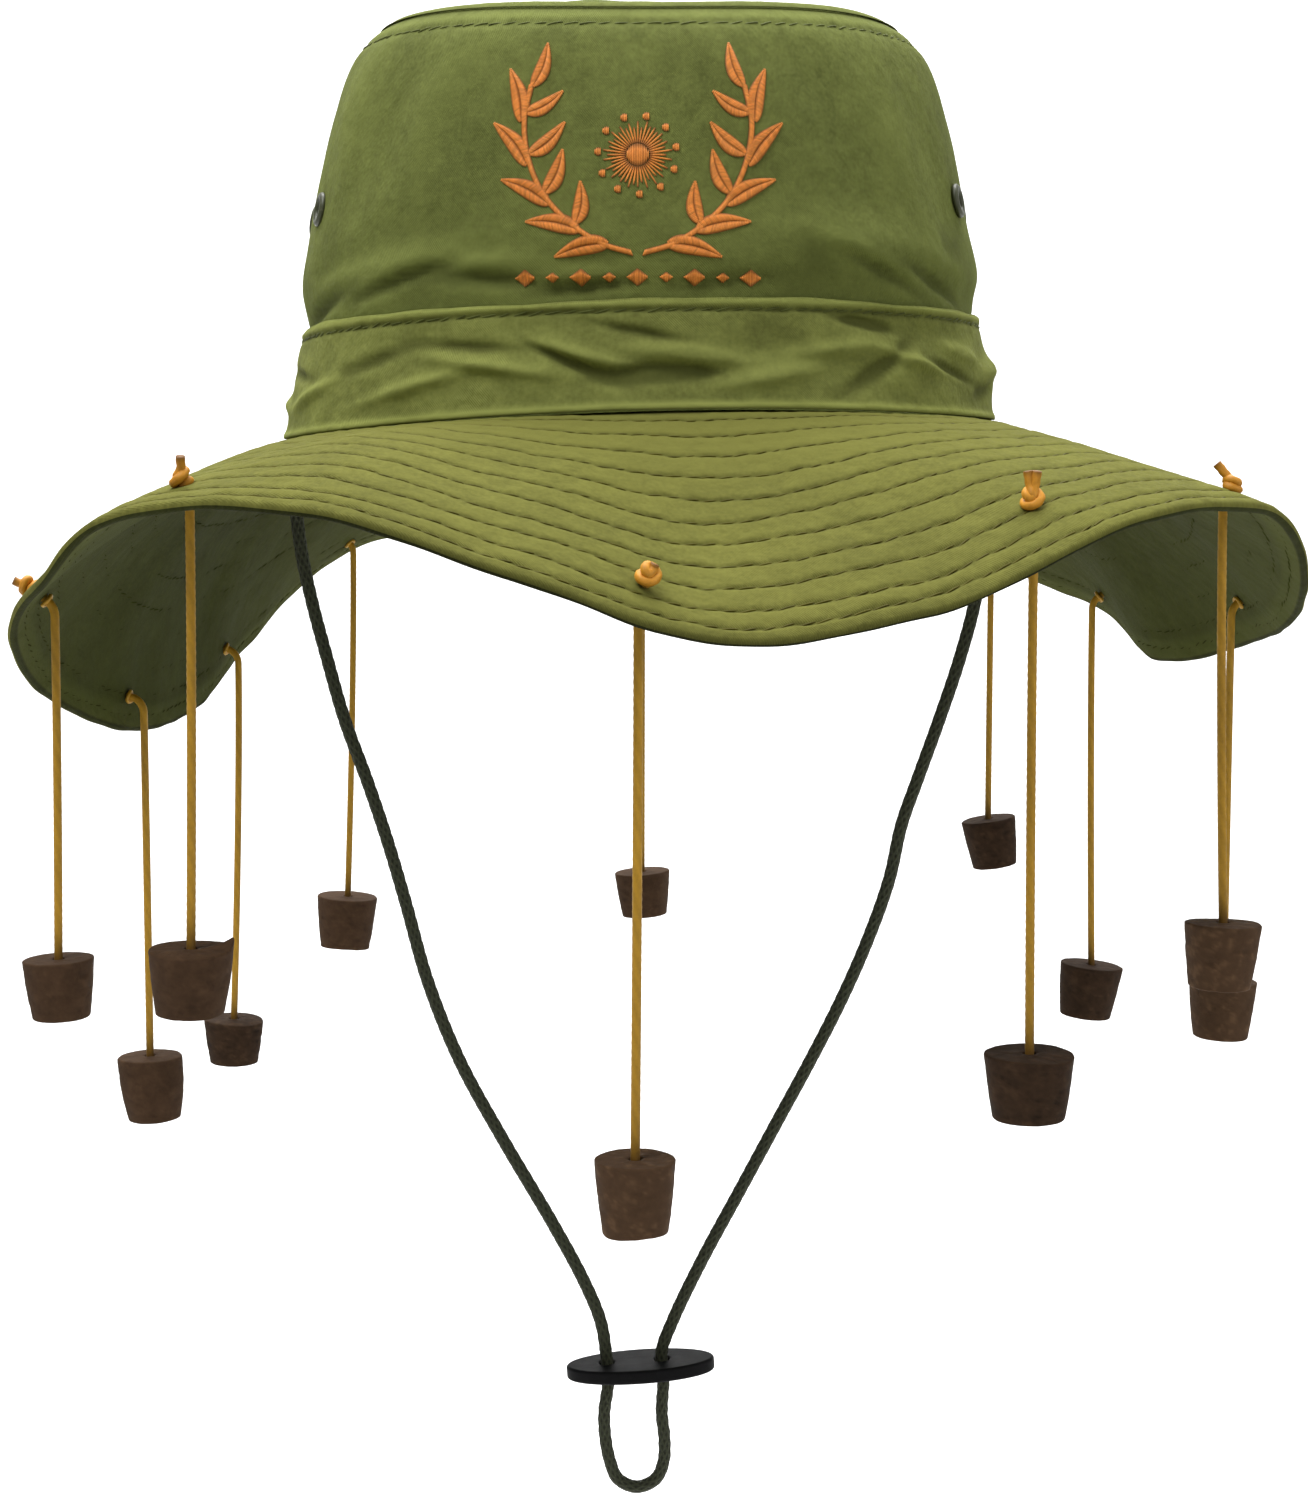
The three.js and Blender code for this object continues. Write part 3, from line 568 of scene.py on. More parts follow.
class Graph:
    """A node tree that is built in Python."""

    def __init__(self, tree):
        self.tree = tree
        self.made = 0

    def node(self, kind, settings=None, inputs=None):
        """A node of a type, with its settings set first and then its sockets' values or links."""
        made = self.tree.nodes.new(kind)
        made.location = (200 * (self.made % 12), -240 * (self.made // 12))
        self.made += 1
        for key, value in (settings or {}).items():
            setattr(made, key, value)
        for key, value in (inputs or {}).items():
            socket = made.inputs[key]
            if isinstance(value, Number):
                value = value.socket
            if isinstance(value, bpy.types.NodeSocket):
                self.tree.links.new(value, socket)
            else:
                socket.default_value = value
        return made

    def number(self, socket):
        """A socket that sums like a number."""
        return Number(self, socket)


class Number:
    """A socket's value, whose sums add Math nodes."""

    def __init__(self, graph, socket):
        self.graph = graph
        self.socket = socket

    def maths(self, operation, *others, first=None):
        """The result of a Math node on this value and others."""
        values = [self if first is None else first, *others]
        inputs = dict(enumerate(values))
        made = self.graph.node("ShaderNodeMath", {"operation": operation}, inputs)
        return Number(self.graph, made.outputs[0])

    def __add__(self, other):
        return self.maths("ADD", other)

    __radd__ = __add__

    def __mul__(self, other):
        return self.maths("MULTIPLY", other)

    __rmul__ = __mul__

    def __sub__(self, other):
        return self.maths("SUBTRACT", other)

    def __rsub__(self, other):
        return self.maths("SUBTRACT", self, first=other)

    def sine(self):
        """The sine of this value, in radians."""
        return self.maths("SINE")

    def capped(self):
        """This value, kept from 0 to 1."""
        made = self.graph.node("ShaderNodeClamp", None, {"Value": self})
        return Number(self.graph, made.outputs[0])


class Finish(Graph):
    """A material's node tree, with the nodes that most finishes need."""

    def __init__(self, name):
        self.material = bpy.data.materials.new(name)
        self.material.use_nodes = True
        super().__init__(self.material.node_tree)
        self.tree.nodes.clear()

    def object_place(self):
        """The place in the hat's frame, in metres."""
        return self.node("ShaderNodeTexCoord").outputs["Object"]

    def cloth_map(self):
        """The piece's own map, as its vector and its two lengths."""
        place = self.node("ShaderNodeUVMap", {"uv_map": "cloth"}).outputs[0]
        parts = self.node("ShaderNodeSeparateXYZ", None, {0: place})
        return place, self.number(parts.outputs[0]), self.number(parts.outputs[1])

    def value(self, name):
        """A value that the piece holds at its points."""
        made = self.node("ShaderNodeAttribute", {"attribute_name": name})
        return self.number(made.outputs["Fac"])

    def noise(self, place, scale, detail=3, roughness=0.5, distortion=0):
        """Cloudy noise, about 0.5 in the middle."""
        inputs = {"Vector": place, "Scale": scale, "Detail": detail, "Roughness": roughness,
                  "Distortion": distortion}
        return self.number(self.node("ShaderNodeTexNoise", None, inputs).outputs[0])

    def cells(self, place, scale):
        """How far the nearest of many scattered points is."""
        inputs = {"Vector": place, "Scale": scale}
        return self.number(self.node("ShaderNodeTexVoronoi", None, inputs).outputs["Distance"])

    def blend(self, share, low, high):
        """A colour between two, each a colour or a socket."""
        colour_sockets = {0: share, 6: low, 7: high}
        for key in (6, 7):
            if isinstance(colour_sockets[key], tuple):
                colour_sockets[key] = (*colour_sockets[key][:3], 1)
        return self.node("ShaderNodeMix", {"data_type": "RGBA"}, colour_sockets).outputs[2]

    def over(self, name, below, top):
        """A colour over another, as far as a value of the piece says."""
        return self.blend(self.value(name).capped(), below, top)

    def bump(self, height, strength, distance, below=None):
        """A normal that follows a height."""
        inputs = {"Height": height, "Strength": strength, "Distance": distance}
        if below is not None:
            inputs["Normal"] = below
        return self.node("ShaderNodeBump", None, inputs).outputs[0]

    def shader(self, base, roughness, normal, **constants):
        """Ends the tree in one shader, and gives the material."""
        inputs = {"Base Color": base, "Roughness": roughness, "Normal": normal}
        inputs.update({key.replace("_", " "): value for key, value in constants.items()})
        shader = self.node("ShaderNodeBsdfPrincipled", None, inputs)
        self.node("ShaderNodeOutputMaterial", None, {"Surface": shader.outputs[0]})
        return self.material


def toned(base, share):
    """A colour made darker (below 1) or lighter."""
    return tuple(min(1, value * share) for value in base[:3])


# Weave of the cloth and twists of the threads and cords
TWILL_WEAVE = 0.62 * MM
YARN_CYCLES = 1.9
WAX_TWIST = 5.5 * MM
WAX_STRANDS = 3
BRAID_STRANDS = 8


def twill_cloth(name, base, fade=1.16):
    """Cotton twill: fine slanting ribs and cloudy colour, with the painted highlights and painted
    shade that each piece gives at its points.
    """
    finish = Finish(name)
    place, across, up = finish.cloth_map()
    cycles = 2 * math.pi / TWILL_WEAVE
    rib = (across * cycles + up * cycles).sine()
    yarn = (across * cycles * YARN_CYCLES).sine() * (up * cycles * YARN_CYCLES).sine()
    grain = finish.noise(place, 2600, 2)
    height = rib * 0.5 + yarn * 0.25 + grain * 0.8
    clouds = finish.noise(place, 24, 4, 0.6)
    speckle = finish.noise(place, 900, 2)
    mottle = finish.noise(place, 190, 3, 0.6)
    tone = (clouds - 0.5) * 1.6 + (mottle - 0.5) * 1.1 + (speckle - 0.5) * 1.2
    cloth = finish.blend((tone + 0.5).capped(), toned(base, 0.74), toned(base, 1.22))
    # Painted highlight, fade times as light, on lips, ridges and parts that face the light, then
    # painted shade in seams, stitch grooves and creases
    cloth = finish.over("painted_light_and_wear", cloth, toned(base, fade))
    cloth = finish.over("painted_shade_and_dirt", cloth, toned(base, 0.45))
    crumple = finish.noise(place, 140, 3, 0.55)
    normal = finish.bump(crumple, 0.6, 1.8 * MM)
    normal = finish.bump(height, 0.5, 0.15 * MM, normal)
    rough = 0.82 + clouds * 0.14
    return finish.shader(cloth, rough, normal, Specular_IOR_Level=0.05)


def spun_thread(name, base, fineness, gloss=0.1):
    """Sewing or embroidery thread: fine twist and a soft shine, each stitch in its own tone."""
    finish = Finish(name)
    fibre = finish.noise(finish.object_place(), fineness, 2)
    strand = finish.number(finish.node("ShaderNodeNewGeometry").outputs["Random Per Island"])
    tone = (fibre * 0.5 + strand * 0.5).capped()
    thread = finish.blend(tone, toned(base, 0.62), toned(base, 1.3))
    # Painted shade at a thread's ends, where it goes into the cloth
    thread = finish.over("painted_shade_and_dirt", thread, toned(base, 0.3))
    normal = finish.bump(fibre, 0.5, 0.1 * MM)
    return finish.shader(thread, 0.62, normal, Specular_IOR_Level=gloss)


def waxed_cord(name, base):
    """Smooth amber cord with a fine twist under its wax."""
    finish = Finish(name)
    along, turn = finish.cloth_map()[1:]
    twist = (along * (2 * math.pi / WAX_TWIST) + turn * (2 * math.pi * WAX_STRANDS)).sine()
    place = finish.object_place()
    fibre = finish.noise(place, 1900, 2)
    # Only a cloudy stain of the wax
    stain_and_shade = finish.noise(place, 45, 3)
    tone = (twist * 0.12 + (fibre - 0.5) * 0.5 + (stain_and_shade - 0.5) * 0.9 + 0.5).capped()
    wax = finish.blend(tone, toned(base, 0.62), toned(base, 1.2))
    # Painted shade where the cord goes into the cork, the hole and the knot, and darker tail tips
    wax = finish.over("painted_shade_and_dirt", wax, linear(58, 30, 14))
    normal = finish.bump(twist * 0.3 + fibre * 0.6, 0.4, 0.12 * MM)
    return finish.shader(wax, 0.5 + stain_and_shade * 0.15, normal, Coat_Weight=0.06, Coat_Roughness=0.4,
                         Specular_IOR_Level=0.3)


def braided_cord(name, base):
    """Dark cord braided of fine strands that cross."""
    finish = Finish(name)
    along, turn = finish.cloth_map()[1:]
    plaits = along * (2 * math.pi / CHIN_PLAIT)
    crossing = turn * (2 * math.pi * BRAID_STRANDS)
    strands = (plaits + crossing).sine().maths("MAXIMUM", (plaits - crossing).sine())
    fibre = finish.noise(finish.object_place(), 2400, 2)
    tone = (strands * 0.35 + (fibre - 0.5) * 0.6 + 0.4).capped()
    braid = finish.blend(tone, toned(base, 0.45), toned(base, 1.5))
    normal = finish.bump(strands + fibre * 0.5, 0.7, 0.22 * MM)
    return finish.shader(braid, 0.8, normal, Sheen_Weight=0.05, Specular_IOR_Level=0.2)


def natural_cork(name, base):
    """Dark cork: fine cells, long dark pores and a few pale flecks."""
    finish = Finish(name)
    place = finish.object_place()
    cells = finish.cells(place, 1100)
    clouds = finish.noise(place, 170, 4, 0.65)
    flecks = finish.noise(place, 620, 3, 0.6)
    pores = ((finish.noise(place, 330, 3, 0.7, 0.6) - 0.57) * 9).capped()
    tone = ((clouds - 0.5) * 0.7 + (flecks - 0.5) * 0.4 + cells * 0.2 + 0.38).capped()
    skin = finish.blend(tone, toned(base, 0.68), toned(base, 1.4))
    skin = finish.blend(pores * 0.18, skin, toned(base, 0.4))
    # Darker where the piece says: painted shade in hollows, in the bore's mouth and at the middle
    # of the foot, and the pits and darker corks
    skin = finish.over("painted_shade_and_dirt", skin, toned(base, 0.3))
    skin = finish.over("painted_light_and_wear", skin, linear(112, 86, 62))
    normal = finish.bump(cells * 0.3 + flecks * 0.4 - pores * 0.7, 0.35, 0.2 * MM)
    return finish.shader(skin, 0.84 + flecks * 0.1, normal, Specular_IOR_Level=0.12)


def moulded_plastic(name, base):
    """Black moulded plastic with a fine spark finish and faint handling marks."""
    finish = Finish(name)
    place = finish.object_place()
    grain = finish.noise(place, 3200, 2)
    marks = finish.noise(place, 210, 4, 0.6)
    tone = ((marks - 0.5) * 1.4 + 0.35).capped()
    plastic = finish.blend(tone, toned(base, 0.8), toned(base, 1.8))
    normal = finish.bump(grain, 0.25, 0.08 * MM)
    return finish.shader(plastic, 0.5 + marks * 0.2, normal, Specular_IOR_Level=0.12)


def painted_metal(name, base):
    """Olive paint on a rolled metal ring, worn at its rim."""
    finish = Finish(name)
    place = finish.object_place()
    # Worn patches of the paint, paler where the metal shows
    painted_light_and_wear = ((finish.noise(place, 700, 4, 0.65) - 0.6) * 6).capped()
    paint = finish.blend(finish.noise(place, 260, 3), toned(base, 0.7), toned(base, 1.3))
    paint = finish.blend(painted_light_and_wear * 0.6, paint, linear(120, 118, 92))
    normal = finish.bump(finish.noise(place, 1800, 2), 0.2, 0.08 * MM)
    return finish.shader(paint, 0.46 - painted_light_and_wear * 0.1, normal, Specular_IOR_Level=0.5)


def make_finishes():
    """Every finish of the hat, by the name of what it covers."""
    palette = colours()
    return {
        "crown": twill_cloth("crown_twill", palette.crown, fade=1.3),
        "band": twill_cloth("band_twill", palette.band, fade=1.42),
        "brim": twill_cloth("brim_twill", palette.brim),
        "shaded_underside": twill_cloth("underside_twill", palette.shaded_underside, fade=1.9),
        "stitch": spun_thread("stitch_thread", palette.stitch, 1500),
        # The lower rows' thread takes the underside's painted shade
        "shaded_under_stitch": spun_thread("under_stitch_thread", toned(palette.shaded_underside, 0.95), 1500, 0),
        "crown_stitch": spun_thread("crown_stitch_thread", toned(palette.crown, 0.75), 1500),
        "motif": spun_thread("motif_thread", palette.motif, 1400, 0.4),
        "cord": waxed_cord("waxed_amber_cord", palette.cord),
        "knot": waxed_cord("knotted_amber_cord", palette.knot),
        "cork": natural_cork("dark_cork", palette.cork),
        "chin": braided_cord("chin_braid", palette.chin),
        "slide": moulded_plastic("slide_plastic", palette.slide),
        "eyelet": painted_metal("eyelet_paint", palette.eyelet),
    }


finishes = {}


# Geometry nodes


class Shape(Graph):
    """A geometry nodes group with named inputs."""

    def __init__(self, name, inputs):
        tree = bpy.data.node_groups.new(name, "GeometryNodeTree")
        super().__init__(tree)
        tree.interface.new_socket("Geometry", in_out="INPUT", socket_type="NodeSocketGeometry")
        for label, kind in inputs:
            tree.interface.new_socket(label, in_out="INPUT", socket_type="NodeSocket" + kind)
        tree.interface.new_socket("Geometry", in_out="OUTPUT", socket_type="NodeSocketGeometry")
        self.entry = self.node("NodeGroupInput")

    def given(self, label):
        """One of the group's own inputs."""
        return self.number(self.entry.outputs[label])

    def vector(self, **parts):
        """A vector from its named parts."""
        inputs = {key.upper(): value for key, value in parts.items()}
        return self.node("ShaderNodeCombineXYZ", None, inputs).outputs[0]

    def chance(self, **inputs):
        """A random number for each point."""
        inputs = {key.capitalize(): value for key, value in inputs.items()}
        made = self.node("FunctionNodeRandomValue", {"data_type": "FLOAT"}, inputs)
        return self.number(made.outputs[1])

    def round_thread(self, line):
        """A round thread along a curve, closed at its ends."""
        inputs = {"Resolution": 5, "Radius": self.given("Thread") * 0.5}
        section = self.node("GeometryNodeCurvePrimitiveCircle", None, inputs).outputs[0]
        inputs = {"Curve": line, "Profile Curve": section, "Fill Caps": True}
        return self.node("GeometryNodeCurveToMesh", None, inputs).outputs[0]

    def end(self, geometry):
        """Makes the result real, smooth and finished, and gives the group."""
        real = self.node("GeometryNodeRealizeInstances", None, {0: geometry})
        smooth = self.node("GeometryNodeSetShadeSmooth", None, {0: real.outputs[0]})
        inputs = {0: smooth.outputs[0], "Material": self.entry.outputs["Finish"]}
        covered = self.node("GeometryNodeSetMaterial", None, inputs)
        self.node("NodeGroupOutput", None, {0: covered.outputs[0]})
        return self.tree


def stitch_tree():
    """Stitches along paths: short arched threads that lie slightly askew, one every pitch."""
    shape = Shape("Stitches along paths", [
        ("Pitch", "Float"), ("Length", "Float"), ("Thread", "Float"), ("Lift", "Float"),
        ("Slant", "Float"), ("Seed", "Int"), ("Finish", "Material"),
    ])
    path = shape.node("GeometryNodeMeshToCurve", None, {0: shape.entry.outputs[0]})
    inputs = {0: path.outputs[0], "Length": shape.given("Pitch")}
    marks = shape.node("GeometryNodeResampleCurve", {"mode": "LENGTH"}, inputs)

    half = shape.given("Length") * 0.5
    lift = shape.given("Lift")
    inputs = {"Resolution": 4, "Start": shape.vector(x=half * -1, z=lift * -0.6),
              "Middle": shape.vector(z=lift * 2), "End": shape.vector(x=half, z=lift * -0.6)}
    arch = shape.node("GeometryNodeCurveQuadraticBezier", None, inputs)
    stitch = shape.round_thread(arch.outputs[0])

    ahead = shape.node("GeometryNodeInputTangent").outputs[0]
    inputs = {"Name": "up"}
    up = shape.node("GeometryNodeInputNamedAttribute", {"data_type": "FLOAT_VECTOR"}, inputs)
    settings = {"axis": "X", "pivot_axis": "AUTO"}
    turned = shape.node("FunctionNodeAlignRotationToVector", settings, {"Vector": ahead})
    settings = {"axis": "Z", "pivot_axis": "X"}
    inputs = {"Rotation": turned.outputs[0], "Vector": up.outputs[0]}
    upright = shape.node("FunctionNodeAlignRotationToVector", settings, inputs)
    angle = (shape.chance(seed=shape.given("Seed")) * 1.2 + 0.4) * shape.given("Slant")
    settings = {"rotation_space": "LOCAL"}
    inputs = {"Rotation": upright.outputs[0], "Rotate By": shape.vector(z=angle)}
    slanted = shape.node("FunctionNodeRotateRotation", settings, inputs)
    size = shape.chance(min=0.82, max=1.12, seed=shape.given("Seed") + 1)
    inputs = {"Points": marks.outputs[0], "Instance": stitch,
              "Rotation": slanted.outputs[0], "Scale": shape.vector(x=size, y=1.0, z=1.0)}
    sewn = shape.node("GeometryNodeInstanceOnPoints", None, inputs)
    return shape.end(sewn.outputs[0])


def thread_tree():
    """Threads laid along lines, side by side."""
    shape = Shape("Threads along lines", [("Thread", "Float"), ("Finish", "Material")])
    path = shape.node("GeometryNodeMeshToCurve", None, {0: shape.entry.outputs[0]})
    return shape.end(shape.round_thread(path.outputs[0]))


def grown(name, lines, tree, values, closed=False):
    """A piece that a geometry nodes group grows on lines, each a pair of points and up vectors.
    The ends of open lines get painted shade, where they go into the cloth."""
    points = np.concatenate([line for line, up in lines])
    ups = np.concatenate([up for line, up in lines])
    edges = []
    start = 0
    for line, up in lines:
        edges += [(start + step, start + step + 1) for step in range(len(line) - 1)]
        if closed:
            edges.append((start + len(line) - 1, start))
        start += len(line)
    mesh = bpy.data.meshes.new(name + "_lines")
    mesh.from_pydata(points.tolist(), edges, [])
    layer = mesh.attributes.new("up", "FLOAT_VECTOR", "POINT")
    layer.data.foreach_set("vector", np.asarray(ups, np.float32).ravel())
    if not closed:
        ends = np.concatenate([[1] + [0] * (len(line) - 2) + [1] for line, up in lines])
        layer = mesh.attributes.new("painted_shade_and_dirt", "FLOAT", "POINT")
        layer.data.foreach_set("value", ends.astype(np.float32))
    carrier = placed(name + "_lines", mesh)
    modifier = carrier.modifiers.new("grow", "NODES")
    modifier.node_group = tree
    for item in tree.interface.items_tree:
        if item.in_out == "INPUT" and item.name in values:
            modifier[item.identifier] = values[item.name]
    result = grown_mesh(carrier)
    result.name = name
    if not result.polygons:
        raise RuntimeError(f"{name} grew nothing")
    return placed(name, result)


# Cords, knots and corks


BEND_STEPS = 9
FALL_STEPS = 24
FALL_BOW = 1.5


def hole_share(row):
    """Share of the brim's width, from the band, at which a cord's hole lies."""
    return 1 - row.inset


def cork_axis(row):
    """The way a cork's axis points, up from its small end."""
    return np.array([math.sin(math.radians(row.tilt)), 0, math.cos(math.radians(row.tilt))])


def cord_route(row):
    """Points of a hanging cord, from the brim's upper face through the hole into the cork's bore,
    with the way that the brim looks there and the centre of the cork's top."""
    form = sizes()
    normal = brim_facing(row.turn, hole_share(row))
    slope = math.acos(normal[2])
    way = normal * (1, 1, 0)
    way = way / np.linalg.norm(way)
    start = brim_place(row.turn, hole_share(row), 0)
    bend_start = start - normal * (form.brim_wall + CORD_LEAD)
    points = [start, start - normal * form.brim_wall / 2, bend_start]
    for step in range(1, BEND_STEPS + 1):
        angle = slope * (1 - step / BEND_STEPS)
        inwards = CORD_BEND * (math.cos(angle) - math.cos(slope))
        down = CORD_BEND * (math.sin(slope) - math.sin(angle))
        points.append(bend_start - way * inwards - np.array([0, 0, down]))
    foot = points[-1]
    hole = brim_place(row.turn, hole_share(row), form.brim_wall)
    sway = form.cork_top * row.sway
    top = np.array([foot[0] + sway, foot[1], hole[2] - CORK_DROP * row.hang])
    for step in range(1, FALL_STEPS + 1):
        share = step / FALL_STEPS
        fall = foot + (top - foot) * share
        fall[0] = foot[0] + sway * share**FALL_BOW
        points.append(fall)
    points.append(top - cork_axis(row) * (CORK_BORE * row.tall - CLEARANCE))
    return np.array(points), normal, top


def twisted(diameter, relief):
    """Radius of a cord of twisted strands, by distance along and angle round."""
    def radius_at(along, angle):
        lobe = np.cos(WAX_STRANDS * angle - 2 * np.pi * along / CORD_LAY)
        return diameter / 2 * (1 + relief * lobe)
    return radius_at


def hanging_cord(row):
    """The waxed cord of one cork."""
    form = sizes()
    path = spaced_path(cord_route(row)[0], 0.9 * MM)
    radius_at = twisted(form.cord_diameter, 0.035)
    # Painted shade on the cord just above the cork and inside its mouth
    to_cork = distances(path)[-1] - CORK_BORE * row.tall - distances(path)
    painted_shade_and_dirt = 0.7 * np.exp(-np.clip(to_cork, 0, None) / (3.5 * MM))
    return tube("hanging_cord_" + row.name, path, radius_at, 12, finishes["cord"], painted_shade_and_dirt), path


# A cord's overhand knot, as turns round the hole: angle, distance from the axis and height, the
# last two in cord diameters
KnotRow = namedtuple("KnotRow", "angle out height")
KNOT_ROWS = [KnotRow(*row) for row in (
    (0, 0.02, -0.2), (0, 0.1, 0.35), (20, 0.62, 0.62), (80, 0.9, 0.55), (150, 0.88, 0.6),
    (220, 0.86, 0.8), (290, 0.84, 1.15), (350, 0.72, 1.5), (420, 0.66, 1.72), (490, 0.62, 1.6),
    (545, 0.45, 1.35), (590, 0.2, 1.45),
)]

# Knots that are pulled tight, and how tall a knot stands and how far its tails lean, if it is
# tight or not
TIGHT_KNOTS = ("left_side", "right_side", "right")
TIGHT_STANCE = (0.7, 1.2)
LOOSE_STANCE = (1, 0.4)
KNOT_RELIEF = 0.05


def knot_frame(row):
    """The hole's place and the three directions of its knot: two across and the brim's own."""
    points, normal = cord_route(row)[:2]
    lean = outward(row.tail_turn)
    along = lean - normal * lean.dot(normal)
    along = along / np.linalg.norm(along)
    return points[0], along, np.cross(normal, along), normal


def tied_knot(row):
    """The knot above the brim, with its tails, and the tucked turn of cord under the brim."""
    form = sizes()
    width = form.cord_diameter
    place, along, aside, normal = knot_frame(row)
    radius_at = twisted(width, KNOT_RELIEF)
    pulled, lean = TIGHT_STANCE if row.name in TIGHT_KNOTS else LOOSE_STANCE

    def local(out, angle, height):
        turn = math.radians(angle)
        level = along * out * math.cos(turn) + aside * out * math.sin(turn)
        return place + width * (level + normal * height * pulled)

    wound = [local(knot.out, knot.angle, knot.height) for knot in KNOT_ROWS]
    parts = []
    for tail in range(row.tails):
        spread = 50 * tail - 10
        ends = [local(0.3 + lean * row.tail * share, spread, 1.6 + row.tail * share)
                for share in (0.3, 0.65, 1)]
        if tail == 0:
            knots = wound + ends
        else:
            knots = [local(0.3, 200, 1.2), local(0.2, 200, 1.6)] + ends
        path = spaced_path(curved_path(knots, 6), 0.35 * MM)
        to_end = distances(path)[-1] - distances(path)
        # Darker tail tips, and painted shade where the cord leaves the hole and the knot's core
        painted_shade_and_dirt = 0.75 * np.exp(-to_end / (0.7 * MM)) + 0.35 * np.exp(-distances(path) / (2 * MM))
        parts.append(tube("knot_part", path, radius_at, 10, finishes["knot"], painted_shade_and_dirt))
    turns = np.radians(np.arange(0, 360, 20))
    under = form.brim_wall / width + 0.34
    ring = [place + width * (along * 0.7 * math.cos(t) + aside * 0.7 * math.sin(t)
                             - normal * (under + 0.08 * math.sin(2 * t))) for t in turns]
    ring.append(ring[0] - normal * width * 0.12)
    thin = twisted(width / 2, KNOT_RELIEF)
    parts.append(tube("knot_part", curved_path(ring, 2), thin, 8, finishes["cord"]))
    return joined("tied_knot_" + row.name, parts)


# How a cork is worn: a raised or broken part of its top or foot, at an angle round it, reaching
# so many degrees. The height is in millimetres
CorkScar = namedtuple("CorkScar", "name end angle reach height")
CORK_SCARS = [CorkScar(*row) for row in (
    ("front", "foot", -60, 70, 1.6), ("front", "foot", 150, 40, 0.9),
    ("left_front", "top", 8, 15, 2.2), ("left_front", "top", 20, 50, 0.5),
    ("left_front", "top", -100, 60, -0.8), ("left_front", "foot", 20, 50, 0.8),
    ("right_front", "top", -40, 50, -0.7), ("left_side", "top", 0, 90, -0.5),
    ("left", "foot", 60, 60, 0.9), ("right", "top", 100, 60, -0.8),
    ("back_left", "foot", -90, 60, 1.2), ("right_rear", "foot", 100, 50, 1.1),
    ("left_rear", "top", -30, 70, -0.9),
)]

# Corks with paler or darker skins or a fuller side, by how much
PALE_CORKS = ("front", "right", "right_side")
PALE_CORK_SHARE = 0.12
DARK_CORKS = ("right_front", "right_rear", "back_right", "left_rear")
DARK_CORK_SHARE = 0.55
BARREL_CORKS = ("left_side",)
CORK_COLUMNS = 72
CORK_SIDE_STEPS = 30
CORK_EDGE = 0.45 * MM
CORK_PITS = 45
MOUTH_DEPTH = 3 * MM


def cork_outline(row, bore):
    """Outline of a cork, from the bore's mouth out over the top, down the side and in under the
    foot, as distances from the axis and heights below the top."""
    form = sizes()
    top_radius = form.cork_top / 2 * row.wide
    foot_radius = form.cork_foot / 2 * row.wide
    height = form.cork_height * row.tall
    swell = 0.5 * MM if row.name in BARREL_CORKS else 0.15 * MM
    top, foot = top_radius - CORK_EDGE, foot_radius - CORK_EDGE
    outline = [(bore, -MOUTH_DEPTH), (bore, -0.5 * MM), (bore + 0.35 * MM, 0)]
    outline += [(radius, 0) for radius in np.linspace(bore + 1.1 * MM, top, 9)]
    for angle in np.radians(np.arange(18, 91, 18)):
        outline.append((top + CORK_EDGE * math.sin(angle), CORK_EDGE * (math.cos(angle) - 1)))
    for step in range(1, CORK_SIDE_STEPS):
        share = step / CORK_SIDE_STEPS
        radius = top_radius + (foot_radius - top_radius) * share
        radius += swell * math.sin(math.pi * share)
        outline.append((radius, -CORK_EDGE - (height - 2 * CORK_EDGE) * share))
    for angle in np.radians(np.arange(0, 90, 18)):
        drop = height - CORK_EDGE * (1 - math.sin(angle))
        outline.append((foot + CORK_EDGE * math.cos(angle), -drop))
    outline += [(radius, -height) for radius in np.linspace(foot, 0.8 * MM, 8)]
    return np.array(outline)


